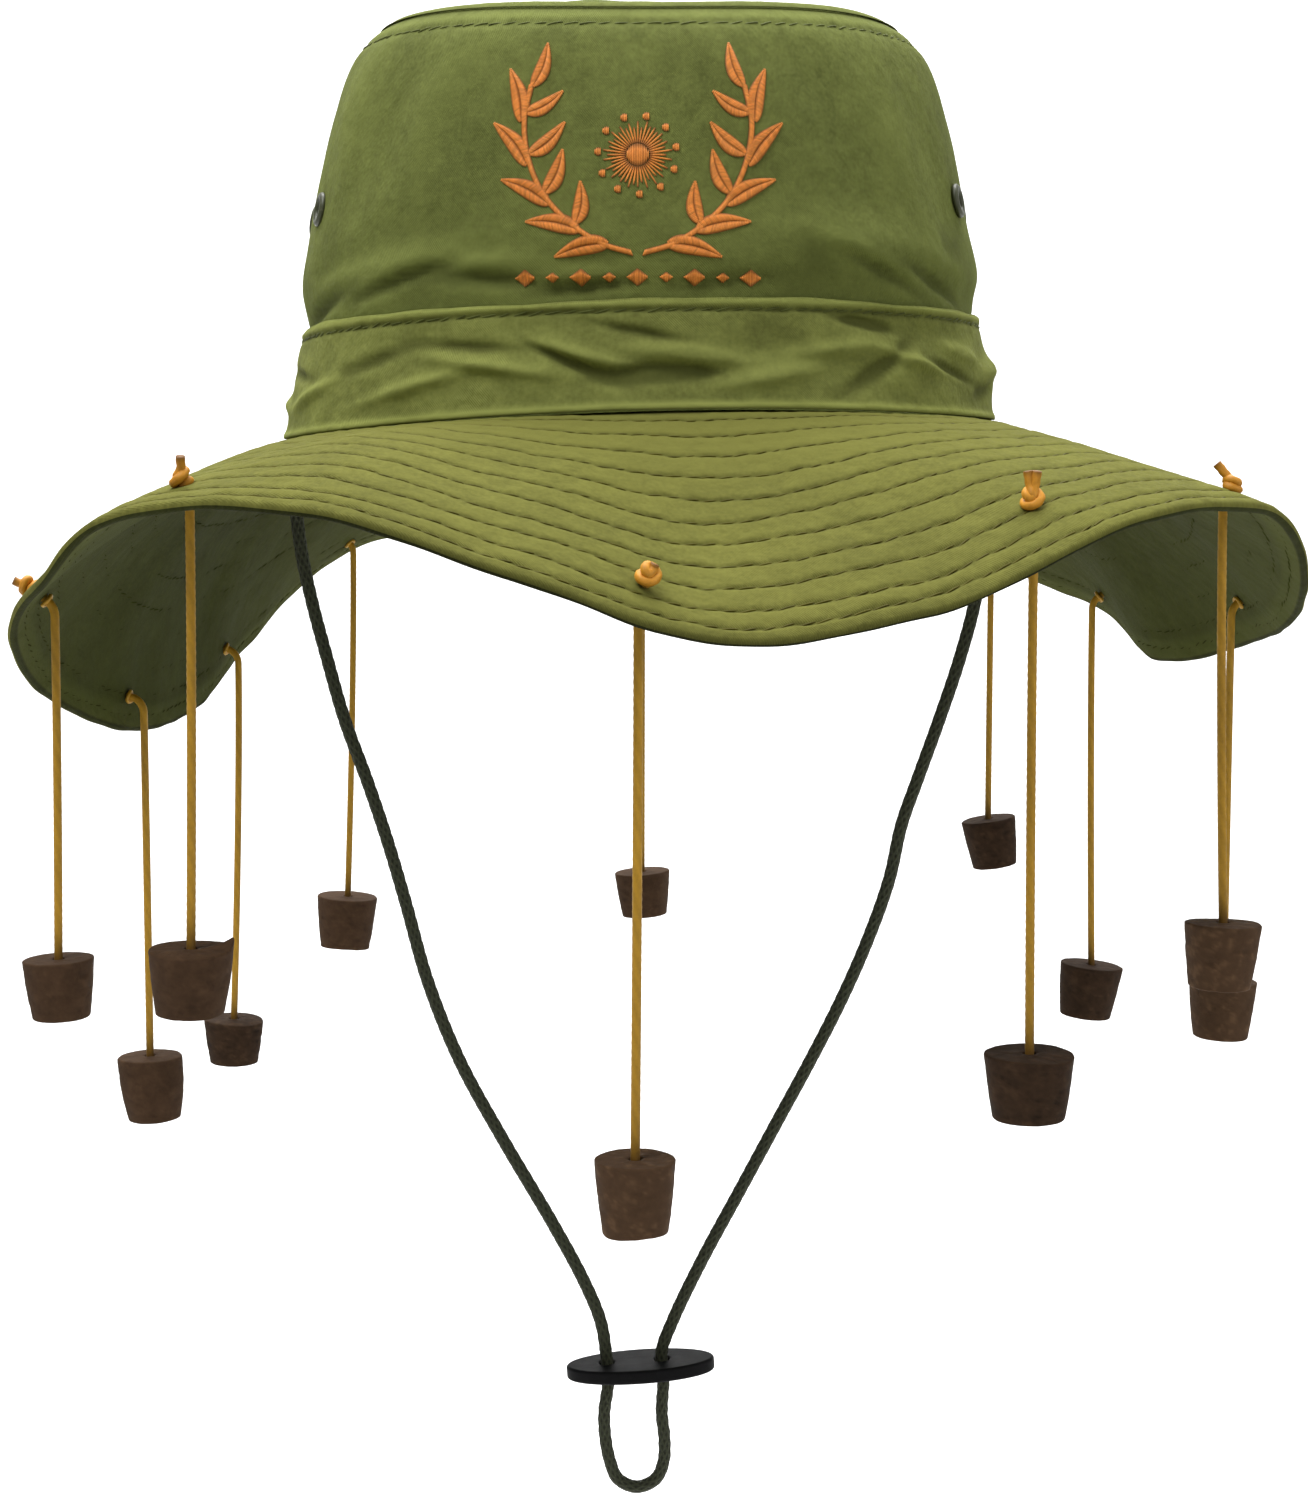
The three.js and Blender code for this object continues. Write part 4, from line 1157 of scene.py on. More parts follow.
def worn_cork(row, number):
    """A tapered cork with a rough skin, pits, worn edges and a bored top."""
    form = sizes()
    random = np.random.default_rng(40 + number)
    height = form.cork_height * row.tall
    bore = form.cord_diameter / 2 + 0.25 * MM
    outline = cork_outline(row, bore)
    angle = 2 * np.pi * np.arange(CORK_COLUMNS) / CORK_COLUMNS
    out = np.broadcast_to(outline[:, 0], (CORK_COLUMNS, len(outline))).copy()
    level = np.broadcast_to(outline[:, 1], (CORK_COLUMNS, len(outline))).copy()
    turn = np.broadcast_to(angle[:, None], out.shape)
    share_out = np.clip((out - bore) / (form.cork_top / 2 * row.wide - bore), 0, 1)

    # Long waves and an oval section, then the scars
    phase = random.uniform(0, 2 * np.pi, 4)
    swell = 0.014 * np.sin(2 * turn + phase[0])
    swell = swell + 0.009 * np.sin(3 * turn + phase[1] + level / (6 * MM))
    swell = swell + 0.008 * np.sin(7 * turn + phase[2])
    out *= 1 + share_out * swell
    tip = np.clip(1 + level / height, 0, 1)
    for scar in CORK_SCARS:
        if scar.name != row.name:
            continue
        away = turn_from(scar.angle, np.degrees(turn))
        reach = np.exp(-((away / scar.reach) ** 2)) * share_out**2
        part = tip**6 if scar.end == "top" else (1 - tip) ** 6
        level += scar.height * MM * reach * part

    # Pits and torn pores
    painted_shade_and_dirt = np.zeros_like(out)
    for _ in range(CORK_PITS):
        pit_turn = random.uniform(0, 2 * np.pi)
        pit_level = random.uniform(-height, 0)
        pit_size = random.uniform(0.25, 0.95) * MM * random.uniform(0.5, 1)
        stretch = random.uniform(1, 2.6)
        away = (turn - pit_turn + np.pi) % (2 * np.pi) - np.pi
        gap = np.hypot(away * out / stretch, level - pit_level) / pit_size
        mark = np.exp(-(gap**3)) * (share_out > 0.8)
        out -= mark * pit_size * random.uniform(0.1, 0.35)
        painted_shade_and_dirt = np.maximum(painted_shade_and_dirt, mark * random.uniform(0.3, 0.9))

    # The rough skin, with painted shade where it lies deep and pale where it stands up; painted
    # shade also fills the bore's mouth and the middle of the foot
    side = np.stack([np.cos(turn), np.sin(turn)], axis=-1)
    points = np.concatenate([side * out[..., None], level[..., None]], axis=-1)
    apart = Vector((7 * number, 0, 0))
    rough = [noise.fractal(Vector(point) / (2.6 * MM) + apart, 0.6, 2.1, 4)
             for point in points.reshape(-1, 3)]
    rough = np.array(rough).reshape(out.shape)
    points[..., :2] += side * (rough * 0.08 * MM * share_out)[..., None]
    points[..., 2] += rough * 0.1 * MM * np.clip(1.2 - np.abs(2 * share_out - 1), 0, 1)
    painted_shade_and_dirt = painted_shade_and_dirt * 0.4 + np.clip(-rough * 0.3, 0, 0.2) + (out <= bore * 1.2)
    painted_light_and_wear = np.clip(rough - 0.2, 0, 0.6) * (0.6 if row.name in PALE_CORKS else 0.2)
    if row.name in PALE_CORKS:
        painted_light_and_wear += PALE_CORK_SHARE
    if row.name in DARK_CORKS:
        painted_shade_and_dirt += DARK_CORK_SHARE

    top = cord_route(row)[2]
    axis = cork_axis(row)
    basis = np.array([(axis[2], 0, -axis[0]), (0, 1, 0), axis])
    points = top + points @ basis
    poles = np.array([top - axis * MOUTH_DEPTH, top - axis * height])
    maps = np.zeros((CORK_COLUMNS + 1, len(outline), 2))
    return ring_body("worn_cork_" + row.name, points, maps, [finishes["cork"]],
                     values={"painted_shade_and_dirt": painted_shade_and_dirt, "painted_light_and_wear": painted_light_and_wear}, poles=poles)


# The chin cord and its slide


def chin_exit(side):
    """Where the chin cord leaves the seam under the crown's wall."""
    form = sizes()
    azimuth = side * CHIN_AZIMUTH
    middle = (form.crown_wall + CLEARANCE + form.band_wall) / 2
    return oval_place(azimuth, form.head_half_width + middle, form.head_half_depth + middle,
                      base_level(azimuth) - 2 * CLEARANCE - form.brim_wall)


def slide_pass(side, lift):
    """A point on the axis of one of the slide's holes, to the side and up."""
    lean = math.radians(SLIDE_LEAN)
    half = side * SLIDE_SPACING / 2 + SLIDE_SHIFT
    return (SLIDE_PLACE[0] + half * math.cos(lean) - lift * math.sin(lean),
            SLIDE_PLACE[1] + half * math.sin(lean) + lift * math.cos(lean))


def chin_path():
    """The smooth line of the chin cord through its chosen points."""
    left, right = chin_exit(-1), chin_exit(1)
    lift = sizes().slide_height
    route = [(left[0], left[2]), (left[0], left[2] - CHIN_LEAD)]
    route += [(x * MM, z * MM) for x, z in CHIN_LEFT]
    route += [slide_pass(-1, lift), slide_pass(-1, -lift)]
    route += [(x * MM, z * MM) for x, z in CHIN_LOOP]
    route += [slide_pass(1, -lift), slide_pass(1, lift)]
    route += [(x * MM, z * MM) for x, z in CHIN_RIGHT]
    route += [(right[0], right[2] - CHIN_LEAD), (right[0], right[2])]
    knots = np.array([(x, left[1], z) for x, z in route])
    return curved_path(knots, 10)


def chin_cord():
    """The braided chin cord, from seam to seam through the slide."""
    form = sizes()

    def radius_at(along, angle):
        plaits = 2 * np.pi * along / CHIN_PLAIT
        crossing = np.maximum(np.sin(plaits + 4 * angle), np.sin(plaits - 4 * angle))
        return form.chin_diameter / 2 * (0.98 + 0.06 * crossing)

    path = spaced_path(chin_path(), 0.8 * MM)
    return tube("chin_braid_cord", path, radius_at, 20, finishes["chin"]), path


# Length of a bezier handle that makes a quarter of a circle, as a share of its radius
QUARTER_HANDLE = 0.5523


def slide_plate():
    """The moulded oval slide, with rounded edges and two holes."""
    form = sizes()
    outline = bpy.data.curves.new("slide_outline", "CURVE")
    outline.dimensions = "2D"
    outline.fill_mode = "BOTH"
    outline.extrude = form.slide_height / 2 - SLIDE_EDGE
    outline.bevel_depth = SLIDE_EDGE
    outline.bevel_resolution = 3
    outline.resolution_u = 20
    hole = form.chin_diameter / 2 + CLEARANCE
    ovals = [(0, form.slide_length / 2 - SLIDE_EDGE, form.slide_depth / 2 - SLIDE_EDGE, 1)]
    for side in (-1, 1):
        middle = side * SLIDE_SPACING / 2 + SLIDE_SHIFT
        ovals.append((middle, hole + SLIDE_EDGE, hole + SLIDE_EDGE, -1))
    for middle, half_long, half_deep, way in ovals:
        spline = outline.splines.new("BEZIER")
        spline.bezier_points.add(3)
        spline.use_cyclic_u = True
        for quarter, point in enumerate(spline.bezier_points):
            angle = way * quarter * math.pi / 2
            x, y = half_long * math.cos(angle), half_deep * math.sin(angle)
            dx = -half_long * math.sin(angle) * way * QUARTER_HANDLE
            dy = half_deep * math.cos(angle) * way * QUARTER_HANDLE
            point.co = (middle + x, y, 0)
            point.handle_left = (middle + x - dx, y - dy, 0)
            point.handle_right = (middle + x + dx, y + dy, 0)
    mesh = grown_mesh(placed("slide_flat", outline))
    mesh.name = "slide_plate"
    with opened(mesh) as work:
        bmesh.ops.remove_doubles(work, verts=work.verts, dist=0.005 * MM)
        bmesh.ops.recalc_face_normals(work, faces=work.faces)
    lean = Matrix.Rotation(-math.radians(SLIDE_LEAN), 4, "Y")
    place = Matrix.Translation((SLIDE_PLACE[0], chin_exit(1)[1], SLIDE_PLACE[1]))
    mesh.transform(place @ lean)
    mesh.materials.clear()
    mesh.materials.append(finishes["slide"])
    mesh.polygons.foreach_set("use_smooth", [True] * len(mesh.polygons))
    made = placed("slide_plate", mesh)
    modifier = made.modifiers.new("flats", "WEIGHTED_NORMAL")
    modifier.keep_sharp = True
    return made


# Crown, band and tip

CROWN_COLUMNS = 400
TIP_COLUMNS = 320
SEAM_STITCH_DROP = 4.2 * MM
BAND_STITCH_DROP = 2.3 * MM
TIP_ROW_SINK = 0.66 * MM

# Lines sewn into the cloth or raised in it: a groove (depth below zero) or a lip at a distance
# from an edge, with its width and how far the stitches pucker it
SeamRow = namedtuple("SeamRow", "distance width depth pucker")
CROWN_SEAMS = [
    SeamRow(SEAM_STITCH_DROP, 0.9 * MM, -0.3 * MM, 0.7),
    SeamRow(2 * MM, 1.3 * MM, 0.35 * MM, 0.3),
    SeamRow(0, 0.6 * MM, -0.45 * MM, 0),
]
TIP_SEAMS = [
    SeamRow(SEAM_STITCH_DROP, 0.9 * MM, -0.3 * MM, 0.7),
    SeamRow(3 * MM, 1.3 * MM, 0.2 * MM, 0),
]
BAND_SEAMS = [
    SeamRow(BAND_STITCH_DROP, 0.7 * MM, -0.38 * MM, 0.5),
    SeamRow(0.9 * MM, 0.9 * MM, 0.25 * MM, 0),
]
BAND_FOOT = [SeamRow(0.7 * MM, 1 * MM, 0.5 * MM, 0)]

# Fine creases of the crown's wall, in the same terms as its folds
CROWN_CREASES = [Fold(*row) for row in (
    (-66, 0.31, 12, 0.02, 0.0022, -0.8), (-62, 0.36, 14, 0.028, 0.0024, 0.55),
    (-42, 0.34, 10, 0.016, 0.003, -0.95), (-36, 0.4, 9, 0.03, 0.003, 0.45),
    (-24, 0.33, 8, 0.016, -0.0015, -0.95), (-24, 0.375, 10, 0.02, -0.001, 0.4),
    (-8, 0.3, 7, 0.014, 0.0012, -0.75), (-9, 0.335, 8, 0.018, 0.001, 0.3),
    (14, 0.31, 8, 0.02, 0.002, -0.4), (34, 0.4, 8, 0.03, -0.0045, 0.45),
    (41, 0.345, 8, 0.016, -0.005, -0.8), (57, 0.33, 9, 0.016, -0.0038, -0.95),
    (60, 0.38, 9, 0.024, -0.003, 0.4), (-50, 0.66, 8, 0.16, 0.006, -0.55),
    (-38, 0.74, 5, 0.18, 0.008, 0.5), (-60, 0.8, 6, 0.14, 0.005, 0.45),
    (30, 0.84, 7, 0.1, -0.008, -0.4), (48, 0.72, 6, 0.18, -0.004, 0.5),
    (62, 0.6, 6, 0.16, -0.002, -0.45), (100, 0.36, 14, 0.03, 0.002, -0.7),
    (104, 0.42, 14, 0.035, 0.002, 0.45), (128, 0.38, 12, 0.024, -0.003, -0.65),
    (176, 0.35, 15, 0.026, 0.0015, -0.7), (170, 0.41, 15, 0.03, 0.0015, 0.4),
    (-130, 0.36, 14, 0.026, 0.0025, -0.65), (-160, 0.62, 9, 0.16, 0.004, -0.55),
    (-104, 0.7, 9, 0.18, -0.003, 0.45), (130, 0.7, 10, 0.18, 0.003, -0.5),
)]

# Fine creases of the band, whose rise is still a share of the crown's height
BAND_CREASES = [Fold(*row) for row in (
    (-46, 0.15, 9, 0.018, 0.003, -0.5), (-36, 0.085, 9, 0.016, 0.0028, 0.65),
    (-26, 0.17, 8, 0.012, -0.0016, -0.45), (-22, 0.12, 9, 0.016, -0.003, 0.7),
    (-9.5, 0.118, 6, 0.013, -0.0075, -1.2), (-8, 0.135, 8, 0.016, -0.0045, 0.65),
    (0.5, 0.187, 6, 0.011, -0.0035, -0.6), (2, 0.086, 7, 0.019, 0.0005, -1.7),
    (8, 0.13, 9, 0.022, -0.002, 0.8), (20, 0.08, 8, 0.02, 0.003, 0.65),
    (40, 0.112, 6.5, 0.022, 0.0085, -0.85), (30, 0.145, 7, 0.02, 0.002, 0.65),
    (37, 0.214, 5, 0.012, -0.002, -1), (47, 0.13, 7, 0.016, -0.003, 0.7),
    (58, 0.11, 7, 0.012, -0.003, -0.65), (62, 0.16, 6, 0.02, -0.002, 0.8),
    (72, 0.07, 6, 0.018, 0.003, -0.55), (78, 0.13, 6, 0.03, 0.003, 0.75),
    (-62, 0.1, 9, 0.016, 0.003, 0.7), (-72, 0.15, 8, 0.014, -0.002, -0.5),
    (-86, 0.09, 8, 0.02, -0.002, 0.65), (100, 0.16, 10, 0.016, 0.002, -0.5),
    (112, 0.09, 10, 0.018, 0.002, 0.65), (150, 0.13, 12, 0.016, -0.002, -0.5),
    (172, 0.09, 10, 0.02, 0.002, 0.65), (-120, 0.12, 12, 0.018, 0.002, -0.5),
    (-140, 0.16, 10, 0.018, 0.002, 0.65), (-165, 0.1, 10, 0.016, -0.0015, -0.5),
)]


def furrow(distance, width):
    """A smooth groove of depth 1: its value by the distance from its middle."""
    return np.exp(-((distance / width) ** 2))


def seams_at(rows, distance, pucker=0):
    """The grooves and lips of a table, by the distance from an edge."""
    relief = 0
    for row in rows:
        line = row.depth * furrow(distance - row.distance, row.width)
        relief = relief + line * (1 + row.pucker * pucker)
    return relief


def back_seam(azimuth, depth, width):
    """The groove of the upright seam at the back."""
    distance = turn_from(180, azimuth) * math.radians(sizes().head_half_depth)
    return -depth * furrow(distance, width)


def crown_relief(azimuth, rise):
    """Fine form of the crown's wall: creases, crumples, the tip's seam and the row below it."""
    form = sizes()
    from_seam = (1 - rise) * form.crown_height
    fade = np.clip(np.minimum(rise, 1 - rise) / 0.06, 0, 1)
    relief = folds_at(CROWN_CREASES, azimuth, rise) * fade
    crumple = waves(azimuth, rise, [
        (7, 5, 0.4, 0.16 * MM), (11, -9, 2.1, 0.13 * MM), (17, 14, 4.0, 0.09 * MM),
        (23, -21, 1.2, 0.07 * MM), (31, 8, 5.1, 0.05 * MM), (43, 30, 3.3, 0.035 * MM),
    ])
    pucker = waves(azimuth, rise * 0, [(97, 0, 0.3, 0.5), (61, 0, 1.7, 0.5)])
    relief = relief + crumple * fade
    above_band = np.clip((rise * form.crown_height - form.band_height) / (2.5 * MM), 0, 1)
    relief = np.where(relief > 0, relief * above_band, relief)
    relief = relief + seams_at(CROWN_SEAMS, from_seam, pucker)
    return relief + back_seam(azimuth, 0.5 * MM, 0.7 * MM)


def crown_surface(azimuth, rise, lift):
    """Points just above the crown's outer face, with its fine form."""
    return crown_place(azimuth, rise, sizes().crown_wall + crown_relief(azimuth, rise) + lift)


def crown_map(azimuth, rise):
    """Place in the crown's cloth: length round it and height, in metres."""
    form = sizes()
    around = np.radians(azimuth) * (form.head_half_width + form.head_half_depth) / 2
    return np.stack([around + 0 * rise, rise * form.crown_height + 0 * around], axis=-1)


def crown_wall():
    """The crown's upright wall, inner and outer face, with its vent holes."""
    form = sizes()
    azimuth = np.linspace(-180, 180, CROWN_COLUMNS + 1)[:, None]
    rises = stepped((0, 0.24, 12), (0.24, 0.93, 58), (0.93, 1, 18))
    relief = crown_relief(azimuth, rises)
    outer = crown_surface(azimuth, rises, 0)[:, ::-1]
    inner = crown_place(azimuth, rises, np.minimum(relief, 0) * 0.7)
    sections = np.concatenate([outer, inner], axis=1)
    maps = crown_map(azimuth, rises)
    maps = np.concatenate([maps[:, ::-1], maps], axis=1)
    from_seam = (1 - rises) * form.crown_height
    # Painted shade in the tip's seam, in the row of stitches below it and in the creases near the
    # band
    painted_shade_and_dirt = 0.35 * furrow(from_seam, 0.9 * MM)
    painted_shade_and_dirt = painted_shade_and_dirt + 0.14 * furrow(from_seam - SEAM_STITCH_DROP, 0.8 * MM)
    near_band = np.clip((0.5 - rises) / 0.06, 0, 1)
    painted_shade_and_dirt = painted_shade_and_dirt + near_band * np.clip(-relief / (1.1 * MM), 0, 0.6)
    # Painted highlight on the lip below the seam and on raised folds, and painted light that makes
    # the lower crown paler
    painted_light_and_wear = 0.5 * furrow(from_seam - 2 * MM, 1.1 * MM)
    painted_light_and_wear = painted_light_and_wear + np.clip(relief / (1.6 * MM), 0, 0.4)
    painted_light_and_wear = painted_light_and_wear + 0.5 * np.clip((0.6 - rises) / 0.4, 0, 1)
    painted_shade_and_dirt = np.concatenate([painted_shade_and_dirt[:-1, ::-1], 0 * painted_shade_and_dirt[:-1]], axis=1)
    painted_light_and_wear = np.concatenate([painted_light_and_wear[:-1, ::-1], 0 * painted_light_and_wear[:-1]], axis=1)
    made = ring_body("crown_wall", sections[:-1], maps, [finishes["crown"]],
                     values={"painted_shade_and_dirt": painted_shade_and_dirt, "painted_light_and_wear": painted_light_and_wear})
    with opened(made.data) as work:
        for _, place, direction in eyelet_places():
            pierce(work, Vector(place), Vector(direction), form.eyelet_hole / 2 + 0.1 * MM)
    return finished(made, "crown_cloth", "crown_side")


def pierce(work, place, direction, radius):
    """Opens a round hole through both faces of a wall."""
    def off_axis(point):
        away = point - place
        return away - direction * away.dot(direction), abs(away.dot(direction))

    inside = []
    for face in work.faces:
        side, along = off_axis(face.calc_center_median())
        if along < 5 * MM and side.length < radius:
            inside.append(face)
    bmesh.ops.delete(work, geom=inside, context="FACES")
    rim = [edge for edge in work.edges if edge.is_boundary]
    for vertex in {vertex for edge in rim for vertex in edge.verts}:
        side, along = off_axis(vertex.co)
        vertex.co += side.normalized() * (radius - side.length)
    bmesh.ops.bridge_loops(work, edges=rim)


def tip_place(azimuth, share, lift):
    """Points of the tip's lower face, lifted: share 0 is its middle and 1 its seam."""
    form = sizes()
    top_share = float(crown_share(1))
    level = seam_level(azimuth, share) + CLEARANCE + TIP_RISE * (1 - share**2) + lift
    half_width = (form.head_half_width * top_share + form.crown_wall) * share
    half_depth = (form.head_half_depth * top_share + form.crown_wall) * share
    return oval_place(azimuth, half_width, half_depth, level)


def crown_tip_panel():
    """The top panel: a shallow dome whose edge rolls into the seam."""
    form = sizes()
    azimuth = np.linspace(-180, 180, TIP_COLUMNS + 1)[:, None]
    shares = stepped((0.06, 0.9, 24), (0.9, 1, 14))
    from_rim = (1 - shares) * form.head_half_width * float(crown_share(1))
    crumple = waves(azimuth, shares * 6, [
        (3, 2, 0.5, 0.5 * MM), (5, -3, 2.2, 0.4 * MM), (9, 4, 1.0, 0.2 * MM),
        (16, -6, 4.4, 0.1 * MM),
    ]) * np.clip(from_rim / (12 * MM), 0, 1)
    pucker = waves(azimuth, shares * 0, [(89, 0, 0.9, 0.5), (57, 0, 2.6, 0.5)])
    relief = crumple + seams_at(TIP_SEAMS, from_rim, pucker)
    roll = -0.5 * MM - 0.9 * MM * furrow(from_rim, 1.3 * MM)
    upper = tip_place(azimuth, shares, form.crown_wall + relief + roll)
    lower = tip_place(azimuth, shares, 0 * relief)
    sections = np.concatenate([upper, lower[:, ::-1]], axis=1)
    flat = np.concatenate([upper[..., :2], lower[:, ::-1, :2]], axis=1)
    # Painted shade in the seam and in the row of stitches, and painted highlight on the lip between
    # them
    painted_shade_and_dirt = 0.3 * furrow(from_rim, 0.9 * MM) + 0.12 * furrow(from_rim - SEAM_STITCH_DROP, 0.8 * MM)
    painted_shade_and_dirt = np.broadcast_to(painted_shade_and_dirt, (TIP_COLUMNS, shares.shape[1]))
    painted_light_and_wear = np.broadcast_to(0.5 * furrow(from_rim - 2 * MM, 1.1 * MM), painted_shade_and_dirt.shape)
    poles = np.array([[0, 0, upper[0, 0, 2]], [0, 0, lower[0, 0, 2]]])
    made = ring_body("crown_tip_panel", sections[:-1], flat, [finishes["crown"]],
                     values={"painted_shade_and_dirt": np.concatenate([painted_shade_and_dirt, 0 * painted_shade_and_dirt], axis=1),
                             "painted_light_and_wear": np.concatenate([painted_light_and_wear, 0 * painted_light_and_wear], axis=1)}, poles=poles)
    return finished(made, "crown_cloth", "crown_tip")


def tip_rim(azimuth, inset):
    """Points of the tip's upper face at a distance in from its seam, for a row of stitches."""
    form = sizes()
    share = 1 - inset / (form.head_half_width * float(crown_share(1)))
    return tip_place(azimuth, share, form.crown_wall)


def band_relief(azimuth, rise):
    """Fine form of the band: its creases, rolled edges and the row of stitches near its top."""
    form = sizes()
    from_top = form.band_height - rise * form.crown_height
    creases = folds_at(BAND_CREASES, azimuth, rise) + 0.4 * folds_at(CROWN_CREASES, azimuth, rise)
    crumple = waves(azimuth, rise, [
        (13, 30, 0.9, 0.10 * MM), (19, -26, 3.1, 0.09 * MM), (37, 40, 1.9, 0.05 * MM),
        (53, -35, 0.2, 0.04 * MM),
    ])
    pucker = waves(azimuth, rise * 0, [(103, 0, 0.3, 0.5), (67, 0, 1.7, 0.5)])
    relief = np.clip(1.25 * creases + crumple, -1.25 * MM, 1.6 * MM)
    relief = relief + seams_at(BAND_SEAMS, from_top, pucker)
    relief = relief + seams_at(BAND_FOOT, rise * form.crown_height)
    return relief + back_seam(azimuth, 0.45 * MM, 0.6 * MM)


def band_surface(azimuth, rise, lift):
    """Points just above the band's outer face."""
    form = sizes()
    outset = form.crown_wall + CLEARANCE + form.band_wall
    return crown_place(azimuth, rise, outset + band_relief(azimuth, rise) + lift)


# Turns of the band's rolled top edge, from its outer face to its inner one
BAND_ROLL = (65, 35, 0, -30, -60)


def crown_band_wrap():
    """The cloth band round the foot of the crown."""
    form = sizes()
    azimuth = np.linspace(-180, 180, CROWN_COLUMNS + 1)[:, None]
    top = form.band_height / form.crown_height
    wander = waves(azimuth, azimuth * 0, [
        (5, 0, 0.3, 0.25 * MM), (12, 0, 2.0, 0.15 * MM), (29, 0, 1.0, 0.08 * MM),
    ])
    shares = stepped((0, 0.1, 6), (0.1, 0.84, 26), (0.84, 0.985, 12))
    rises = shares * top * (1 + wander / form.band_height)
    relief = band_relief(azimuth, rises)
    outer = band_surface(azimuth, rises, 0)[:, ::-1]
    inset = form.crown_wall + CLEARANCE
    inner = crown_place(azimuth, rises, inset - 0.2 * MM)
    roll = []
    for turn in BAND_ROLL:
        lift = math.cos(math.radians(turn)) * 0.5 * MM
        middle = inset + form.band_wall / 2 * (1 - math.sin(math.radians(turn)))
        rise = rises[:, -1:] + (lift + 0.1 * MM) / form.crown_height
        roll.append(crown_place(azimuth, rise, middle))
    roll = np.concatenate(roll, axis=1)
    sections = np.concatenate([outer, inner, roll], axis=1)
    roll_rises = np.repeat(rises[:, -1:], len(BAND_ROLL), axis=1)
    maps = crown_map(azimuth, np.concatenate([rises[:, ::-1], rises, roll_rises], axis=1))
    from_top = form.band_height - rises * form.crown_height
    # Painted shade in the row of stitches, at the band's foot and in its creases
    painted_shade_and_dirt = 0.4 * furrow(from_top - BAND_STITCH_DROP, 0.7 * MM)
    painted_shade_and_dirt = painted_shade_and_dirt + 0.1 * furrow(rises * form.crown_height, 0.5 * MM)
    painted_shade_and_dirt = painted_shade_and_dirt + np.clip(-relief / (1.1 * MM), 0, 0.8)
    # Painted highlight on the rolled top, the lip at the foot and raised folds
    painted_light_and_wear = 0.75 * furrow(from_top - 0.6 * MM, 0.9 * MM)
    painted_light_and_wear = painted_light_and_wear + 1.1 * furrow(rises * form.crown_height - 0.7 * MM, 0.8 * MM)
    painted_light_and_wear = painted_light_and_wear + np.clip(relief / (1.6 * MM), 0, 0.35)
    blank = np.zeros((CROWN_COLUMNS, shares.shape[1] + len(BAND_ROLL)))
    painted_shade_and_dirt = np.concatenate([np.broadcast_to(painted_shade_and_dirt, rises.shape)[:-1, ::-1], blank], axis=1)
    painted_light_and_wear = np.concatenate([painted_light_and_wear[:-1, ::-1], blank], axis=1)
    made = ring_body("crown_band_wrap", sections[:-1], maps, [finishes["band"]],
                     values={"painted_shade_and_dirt": painted_shade_and_dirt, "painted_light_and_wear": painted_light_and_wear})
    return finished(made, "crown_cloth", "crown_band")


# Vent eyelets


def eyelet_places():
    """Where the vent rings sit: a name, the centre on the wall's outer face and the way out."""
    form = sizes()
    rise = EYELET_HEIGHT / form.crown_height
    half_depth = form.head_half_depth * float(crown_share(rise))
    spread = math.degrees(math.asin(EYELET_SPACING / 2 / half_depth))
    places = []
    wall = form.crown_wall
    for name, side, end in (
        ("left_front", -1, -1), ("left_back", -1, 1), ("right_front", 1, -1), ("right_back", 1, 1),
    ):
        azimuth = side * (EYELET_AZIMUTH + end * spread)
        along = crown_place(azimuth + 4, rise, wall) - crown_place(azimuth - 4, rise, wall)
        up = crown_place(azimuth, rise + 0.05, wall) - crown_place(azimuth, rise - 0.05, wall)
        facing = np.cross(along, up)
        places.append((name, crown_place(azimuth, rise, wall), facing / np.linalg.norm(facing)))
    return places


def eyelet_ring(name, place, direction):
    """A rolled metal ring with a barrel through the cloth and a washer inside."""
    form = sizes()
    inner, outer = form.eyelet_hole / 2, form.eyelet_outer / 2
    wall = form.crown_wall
    outline = [(inner + 0.35 * MM, -wall - 0.9 * MM), (inner, -wall - 0.3 * MM)]
    outline.append((inner - 0.05 * MM, 0.2 * MM))
    middle, half = (inner + outer) / 2, (outer - inner) / 2
    for angle in np.radians(np.arange(170, -1, -17)):
        outline.append((middle + half * math.cos(angle), 0.25 * MM + 0.95 * MM * math.sin(angle)))
    outline += [(outer - 0.1 * MM, -0.15 * MM), (inner + 0.5 * MM, -0.2 * MM)]
    outline += [(inner + 0.5 * MM, -wall - 0.2 * MM), (outer - 0.3 * MM, -wall - 0.3 * MM),
                (outer - 0.2 * MM, -wall - 0.6 * MM), (inner + 1.2 * MM, -wall - 1.0 * MM)]
    angle = 2 * np.pi * np.arange(EYELET_COLUMNS) / EYELET_COLUMNS
    outline = np.array(outline)[::-1]
    local = np.stack([
        np.cos(angle)[:, None] * outline[None, :, 0],
        np.sin(angle)[:, None] * outline[None, :, 0],
        np.broadcast_to(outline[None, :, 1], (EYELET_COLUMNS, len(outline))),
    ], axis=-1)
    basis = np.array(Vector(direction).to_track_quat("Z", "Y").to_matrix())
    sections = local @ basis.T + place
    maps = np.zeros((EYELET_COLUMNS + 1, len(outline), 2))
    made = ring_body("vent_ring_" + name, sections, maps, [finishes["eyelet"]])
    with opened(made.data) as work:
        bmesh.ops.recalc_face_normals(work, faces=work.faces)
    return finished(made, "eyelet", "eyelet_" + name)


# Brim

BRIM_COLUMNS = 600
BRIM_STITCH_ROWS = (0.055, 0.145, 0.245, 0.345, 0.44, 0.535, 0.63, 0.725, 0.81, 0.895, 0.957)
ROW_REACH = (-1.5 * MM, -0.75 * MM, -0.3 * MM, 0, 0.3 * MM, 0.75 * MM, 1.5 * MM)

